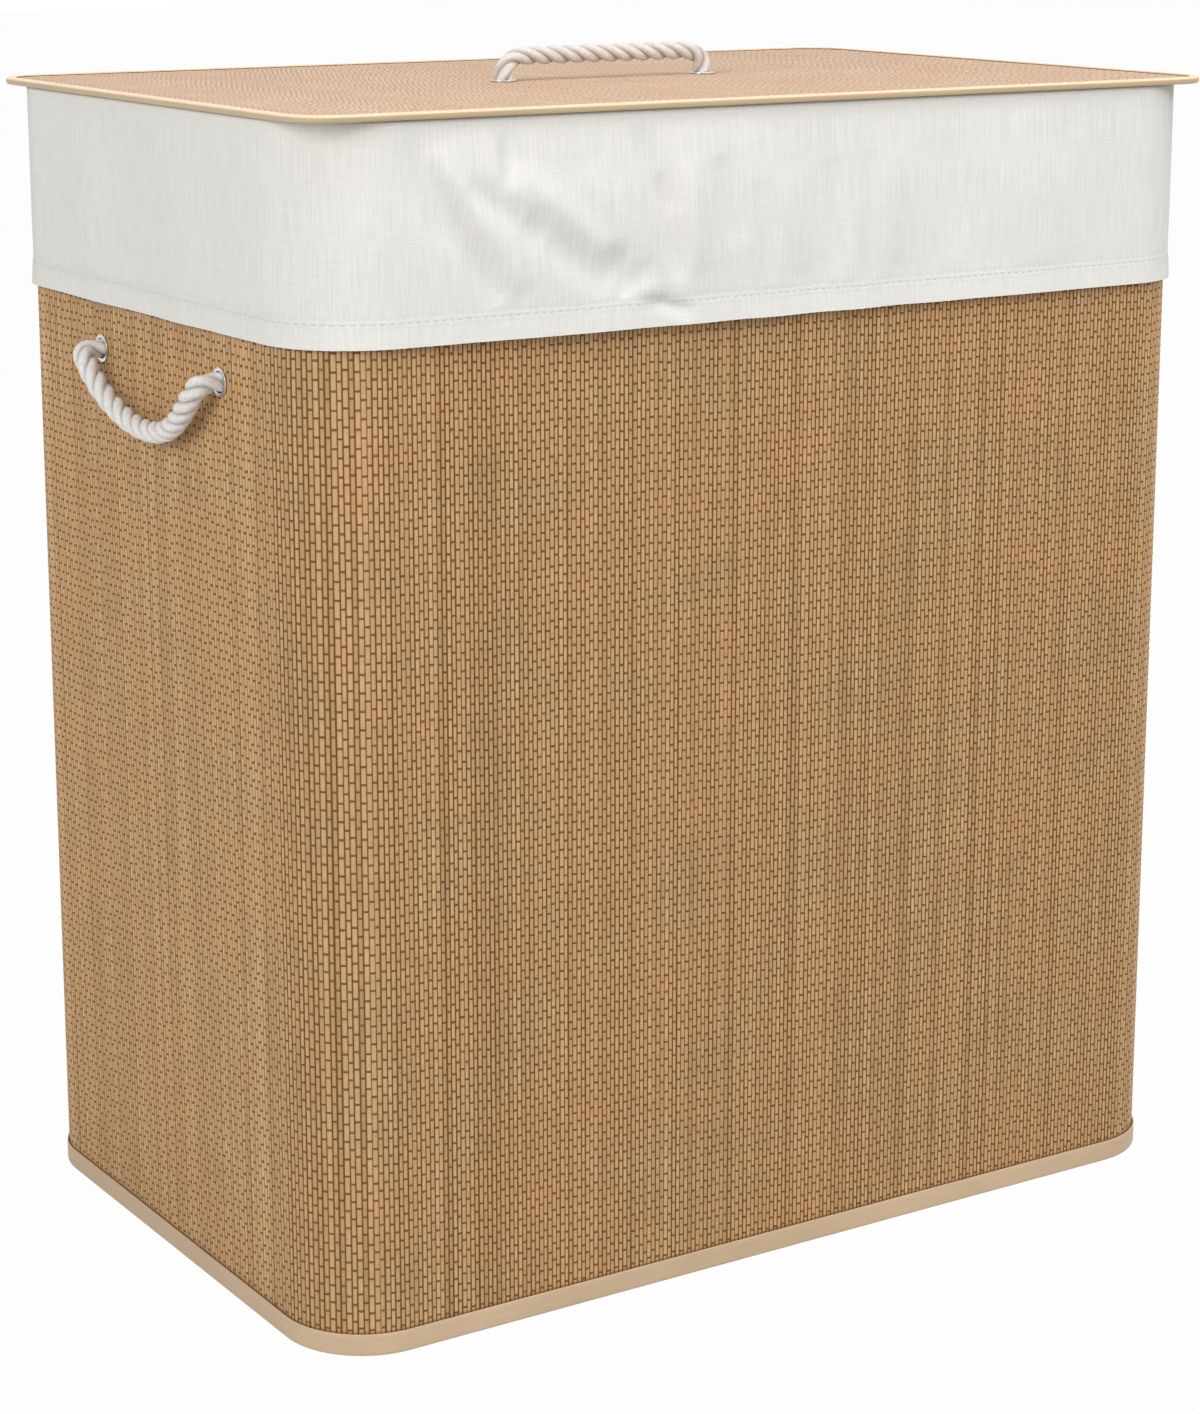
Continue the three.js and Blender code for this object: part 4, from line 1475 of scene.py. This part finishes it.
# Creases of the cuff's front: from (x, z) to (x, z), half width and depth, in millimetres. Ridges
# are positive and valleys are negative. All are deepened alike.
CREASE_GAIN = 1.5
FRONT_CREASES = (
    (-238, 606, -202, 566, 9.0, -1.2),
    (-230, 616, -178, 536, 5.5, -2.6),
    (-215, 612, -166, 540, 6.0, 2.0),
    (-197, 594, -153, 566, 7.0, -2.0),
    (-165, 574, -115, 540, 9.0, -2.3),
    (-171, 600, -112, 552, 8.0, 2.0),
    (-175, 618, -173, 590, 3.0, -1.5),
    (-116, 560, -104, 534, 6.0, -2.0),
    (-128, 600, -96, 548, 9.0, 1.2),
    (-98, 618, -78, 574, 8.0, -1.5),
    (-86, 594, -74, 540, 5.0, -2.2),
    (-70, 600, -62, 544, 7.0, 1.4),
    (-98, 540, -86, 531, 5.0, 1.4),
    (-94, 533, -66, 523, 3.4, -1.8),
    (-50, 600, -38, 556, 9.0, -1.2),
    (-26, 588, -16, 536, 7.0, -1.0),
    (-10, 590, 2, 540, 10.0, 0.7),
    (22, 596, 27, 536, 8.0, -0.9),
    (44, 600, 47, 532, 7.0, -0.9),
    (60, 600, 64, 540, 9.0, 0.6),
    (96, 604, 104, 540, 12.0, -0.6),
    (150, 606, 164, 540, 14.0, -0.6),
    (204, 600, 212, 540, 12.0, -0.5),
)


def crease_push(x, z):
    """How far the creases push the cuff out, or in where they are valleys."""
    push = np.zeros(len(x))
    for x1, z1, x2, z2, wide, deep in FRONT_CREASES:
        start, way = np.array([x1, z1]) * MM, np.array([x2 - x1, z2 - z1]) * MM
        place = np.c_[x, z] - start
        share = (place @ way) / (way @ way)
        away = (place[:, 0] * way[1] - place[:, 1] * way[0]) / np.linalg.norm(way)
        fade = np.clip(1 - (2 * share - 1) ** 2, 0, 1) ** 0.6
        push += CREASE_GAIN * deep * MM * fade * bell(away, wide * MM)
    return push


def slack(x, z):
    """How far the cloth of the cuff's front stands off where its creases are."""
    near = bell(x + 130 * MM, 95 * MM, 4) + 0.45 * bell(x - 60 * MM, 150 * MM, 4)
    return 2.6 * MM * near * ramp(CUFF_TOP - z, 40 * MM)


def cuff_push(x, z):
    """How far the cuff's cloth stands out of its plain shape at a place."""
    hem, pitch = sizes().hem_height, sizes().stitch_pitch
    above = z - (CUFF_BOTTOM + hem)
    soft = 0.4 * MM * waves(x, z, seed=11, finest=34)
    soft += 0.2 * MM * waves(x, z, seed=12, count=14, finest=90)
    stiff = 1 - 0.55 * np.exp(-np.maximum(above, 0) / (20 * MM))
    push = fold_push(x, z) * stiff + crease_push(x, z) + slack(x, z) + soft
    push = ramp(CUFF_TOP - z, 14 * MM) * np.maximum(push, -0.4 * MM)
    push += 0.2 * MM / (1 + np.exp(above / (0.7 * MM)))  # the hem's second layer
    push += 0.9 * MM * ramp(-above, hem)  # its lower edge flares
    push -= 0.2 * MM * bell(above, 16 * MM) * (above > 0)  # the seam draws the cloth in above it
    push -= 0.2 * MM * bell(above + SEAM_DROP, 0.8 * MM)
    return push + 0.05 * MM * np.sin(TURN * x / pitch) * bell(above, 4 * MM)


class HAMPER_OT_liner_cuff(bpy.types.Operator):
    """Add the liner's cuff, folded over the rim, with its hem"""

    bl_idname = "hamper.liner_cuff"
    bl_label = "Liner cuff"

    def execute(self, context):
        whole = wall_way()
        outside, inside = (CUFF_OUTSIDE, CUFF_BOTTOM), (CUFF_INSIDE, CUFF_LEG_BOTTOM)
        path = folded(outside, CUFF_TOP, inside, radius=1.1 * MM)
        seam = CUFF_BOTTOM + sizes().hem_height - SEAM_DROP
        # The rows lie closer together near the seam
        fine = [(CUFF_OUTSIDE, seam + step * 0.55 * MM) for step in range(-5, 8)]
        far = (np.abs(path[:, 1] - seam) > 4.6 * MM) | (path[:, 0] < 0)
        first = int(np.argmax((path[:, 0] > 0) & (path[:, 1] > seam)))
        path = np.r_[path[:first][far[:first]], fine, path[first:][far[first:]]]
        cuff = add_strip(path, 680, whole)
        points = points_of(cuff)
        x, z = points[:, 0], points[:, 2].copy()
        outer = points[:, 1] < -0.5 * MM
        points[:, 1] -= np.where(outer, cuff_push(x, z), 0)
        rise = 0.2 * MM * waves(x, 0 * z, seed=13, finest=40)
        hanging = ramp(CUFF_BOTTOM + 20 * MM - z, 20 * MM)
        points[:, 2] += np.where(outer, rise * hanging, 0)
        move_points(cuff, points)
        wrap_wall(cuff, LINER_CLOTH)
        name = "liner_cuff_cloth"
        finish_piece(cuff, name, "liner", "liner_cotton", "Liner cotton", "liner_cuff", sharp=75)

        stitches = add_stitches(whole)
        points = points_of(stitches)
        push = cuff_push(points[:, 0], np.full(len(points), seam))
        points[:, 1] -= CUFF_OUTSIDE + push + 0.02 * MM
        points[:, 2] += seam
        move_points(stitches, points)
        bend_wall(stitches)
        finish_piece(stitches, "cuff_stitches", "liner", "liner_cotton", "White thread")
        return {"FINISHED"}


class HAMPER_OT_liner_bag(bpy.types.Operator):
    """Add the bag that hangs inside the basket"""

    bl_idname = "hamper.liner_bag"
    bl_label = "Liner bag"

    def execute(self, context):
        whole = wall_way()
        path = [(BAG_OFFSET, BAG_BOTTOM), (BAG_OFFSET, BAG_SHOULDER), (BAG_TOP_OFFSET, BAG_TOP)]
        path = refined(rounded(path, radius=14 * MM), step=9 * MM)
        bag = add_strip(path, 360, whole)
        points = points_of(bag)
        x, z = points[:, 0], points[:, 2]
        free = ramp(BAG_TOP - z, 60 * MM) * ramp(z, 40 * MM)
        points[:, 1] += free * 3.2 * MM * (0.5 + 0.5 * waves(x, z * 0.15, seed=21, finest=30))
        move_points(bag, points)
        bend_wall(bag)
        weld(bag)
        with editing(bag, "vertices", points_of(bag)[:, 2] < BAG_BOTTOM + 0.1 * MM):
            bpy.ops.mesh.edge_face_add()
            bpy.ops.mesh.inset(thickness=12 * MM)
            bpy.ops.mesh.inset(thickness=40 * MM)
        thicken(bag, LINER_CLOTH)
        name = "liner_bag_cloth"
        finish_piece(bag, name, "liner", "liner_cotton", "Liner cotton", "liner_bag")
        return {"FINISHED"}


class HAMPER_OT_liner_divider(bpy.types.Operator):
    """Add the panel that parts the two bins"""

    bl_idname = "hamper.liner_divider"
    bl_label = "Liner divider"

    def execute(self, context):
        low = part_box("liner_divider")[0].z
        tall = DIVIDER_TOP - low
        clear = DEPTH / 2 - 1.2 * MM
        narrow = clear + BAG_OFFSET
        rise = (DIVIDER_TOP - BAG_SHOULDER) / (BAG_TOP - BAG_SHOULDER)
        broad = clear + BAG_OFFSET + (BAG_TOP_OFFSET - BAG_OFFSET) * rise - SEAT_GAP
        heights = np.linspace(low, DIVIDER_TOP, 90)
        panel, share, row = add_grid(60, len(heights) - 1)
        z = heights[row]
        half = np.interp(z, [low, BAG_SHOULDER, DIVIDER_TOP], [narrow, narrow, broad])
        free = (1 - (2 * share - 1) ** 4) * ramp(z - low, 60 * MM)
        sway = 1.1 * MM * np.sin(9 * share + 5 * z) + 0.7 * MM * np.sin(17 * share - 8 * z)
        hem = DIVIDER_TOP - 12 * MM
        bulge = 0.5 * MM * (z > hem) - 0.3 * MM * bell(z - hem, math.sqrt(2) * 0.8 * MM)
        out = LINER_CLOTH + free * sway + bulge
        move_points(panel, np.c_[out, (2 * share - 1) * half, z])
        scale_map(panel, 2 * narrow, tall)
        thicken(panel, 2 * LINER_CLOTH)
        soften_edges(panel, 0.35 * MM)
        name = "liner_divider_cloth"
        finish_piece(panel, name, "liner", "liner_cotton", "Liner cotton", "liner_divider")
        return {"FINISHED"}


# The lid


def lid_reach(x, inset):
    """Half the lid's depth at a place along it, inside its binding."""
    radius = sizes().lid_corner - inset
    half_x, half_y = LID_HIGH.x - inset, LID_HIGH.y - inset
    past = np.clip(np.abs(x) - (half_x - radius), 0, radius)
    return half_y - radius + np.sqrt(np.maximum(radius**2 - past**2, 0))


class HAMPER_OT_lid_mat(bpy.types.Operator):
    """Add the fine woven mat on the lid"""

    bl_idname = "hamper.lid_mat"
    bl_label = "Lid mat"

    def execute(self, context):
        s = sizes()
        inset = 1.0 * MM
        wide = 2 * (LID_HIGH.x - inset)
        deep = LID_HIGH.y - inset
        count = round(wide / s.lid_stick_pitch)
        pitch = wide / count
        origin = -wide / 2 + pitch / 2
        height = (LID_MAT_HIGH.z - LID_MAT_LOW.z) * 0.8
        weave = Weave(
            pitch, 0.1 * MM, height, -deep, deep, cuts=3, weft_pitch=s.lid_weft_pitch,
            weft_height=0.9 * MM, loop_rows=1, stick_look="Lid mat", thread_look="Lid thread",
        )
        mat = add_mat(weave, 0, count, [(x - origin, 0) for x in LID_HOLES_X])
        vary_sticks(mat, weave, 0, count, seed=43, slip=0.22)
        points = points_of(mat)
        points[:, 0] += origin
        reach = lid_reach(points[:, 0], inset)
        gone = np.abs(points[:, 2]) > reach - 1 * MM
        points[:, 2] = np.clip(points[:, 2], -reach, reach)
        map_mat(mat, -deep, deep, 0, wide)
        move_points(mat, np.c_[points[:, 0], points[:, 2], LID_MAT_HIGH.z - height - points[:, 1]])
        drop_loops(mat, gone)
        finish_piece(mat, "lid_mat_weave", "lid", "lid_woven_mat", None, "lid_mat")
        return {"FINISHED"}


class HAMPER_OT_lid_layers(bpy.types.Operator):
    """Add the lid's lining, and finish its board"""

    bl_idname = "hamper.lid_layers"
    bl_label = "Lid layers"

    def execute(self, context):
        low, high = LID_LINING_LOW, LID_LINING_HIGH
        radius = sizes().lid_corner - (LID_HIGH.x - high.x)
        wide, deep = high.x - low.x, high.y - low.y
        cloth = add_round_plate(wide, deep, radius, high.z, high.z - low.z)
        for x in LID_HOLES_X:
            bore(cloth, (x, 0, high.z), (0, 0, 0))
        name = "lid_lining_cloth"
        finish_piece(cloth, name, "lid", "lining_cloth", "Lining cloth", "lid_lining")
        finish_node("lid_board", "Fibreboard")
        return {"FINISHED"}


class HAMPER_OT_lid_binding(bpy.types.Operator):
    """Add the tape round the lid's edge"""

    bl_idname = "hamper.lid_binding"
    bl_label = "Lid binding"

    def execute(self, context):
        outline = (LID_HIGH.x - LID_LOW.x, LID_HIGH.y - LID_LOW.y, sizes().lid_corner)
        band = 5 * MM
        corners = [(-band, LID_LOW.z), (0, LID_LOW.z), (0, LID_HIGH.z), (-band, LID_HIGH.z)]
        path = refined(rounded(corners, radius=1.5 * MM, steps=6), step=1.2 * MM)
        tape = add_strip(path, 420, way_round(*outline))
        move_points(tape, bent_round(points_of(tape), *outline))
        weld(tape)
        thicken(tape, 0.5 * MM, even=True)
        finish_piece(tape, "lid_tape_band", "lid", "lid_tape", "Lid tape", "lid_binding")
        return {"FINISHED"}


OPERATORS = (
    HAMPER_OT_stage,
    HAMPER_OT_rope_handles,
    HAMPER_OT_rope_knots,
    HAMPER_OT_eyelets,
    HAMPER_OT_wall_mat,
    HAMPER_OT_wall_layers,
    HAMPER_OT_foot_binding,
    HAMPER_OT_rim,
    HAMPER_OT_seam_strip,
    HAMPER_OT_base,
    HAMPER_OT_liner_cuff,
    HAMPER_OT_liner_bag,
    HAMPER_OT_liner_divider,
    HAMPER_OT_lid_mat,
    HAMPER_OT_lid_layers,
    HAMPER_OT_lid_binding,
)


class HAMPER_PT_panel(bpy.types.Panel):
    """Lists what the hamper is made of"""

    bl_idname = "HAMPER_PT_panel"
    bl_label = "Laundry hamper"
    bl_space_type = "VIEW_3D"
    bl_region_type = "UI"
    bl_category = "Hamper"

    def draw(self, context):
        layout = self.layout
        for operator in OPERATORS:
            layout.operator(operator.bl_idname)
        for group_name in GROUPS:
            group, box = getattr(context.scene, group_name), layout.box()
            for name in group.bl_rna.properties.keys():
                if name not in ("rna_type", "name"):
                    box.prop(group, name)


GROUPS = {
    "hamper_sizes": HamperSizes,
    "hamper_colours": HamperColours,
    "hamper_view": HamperView,
}


def register():
    for name, group in GROUPS.items():
        bpy.utils.register_class(group)
        setattr(bpy.types.Scene, name, PointerProperty(type=group))
    for kind in (*OPERATORS, HAMPER_PT_panel):
        bpy.utils.register_class(kind)


def unregister():
    for kind in (HAMPER_PT_panel, *reversed(OPERATORS)):
        bpy.utils.unregister_class(kind)
    for name, group in GROUPS.items():
        delattr(bpy.types.Scene, name)
        bpy.utils.unregister_class(group)


def main():
    register()
    for operator in OPERATORS:
        part = operator.bl_idname.split(".")[1]
        getattr(bpy.ops.hamper, part)()
    select_none()


if __name__ == "__main__":
    main()
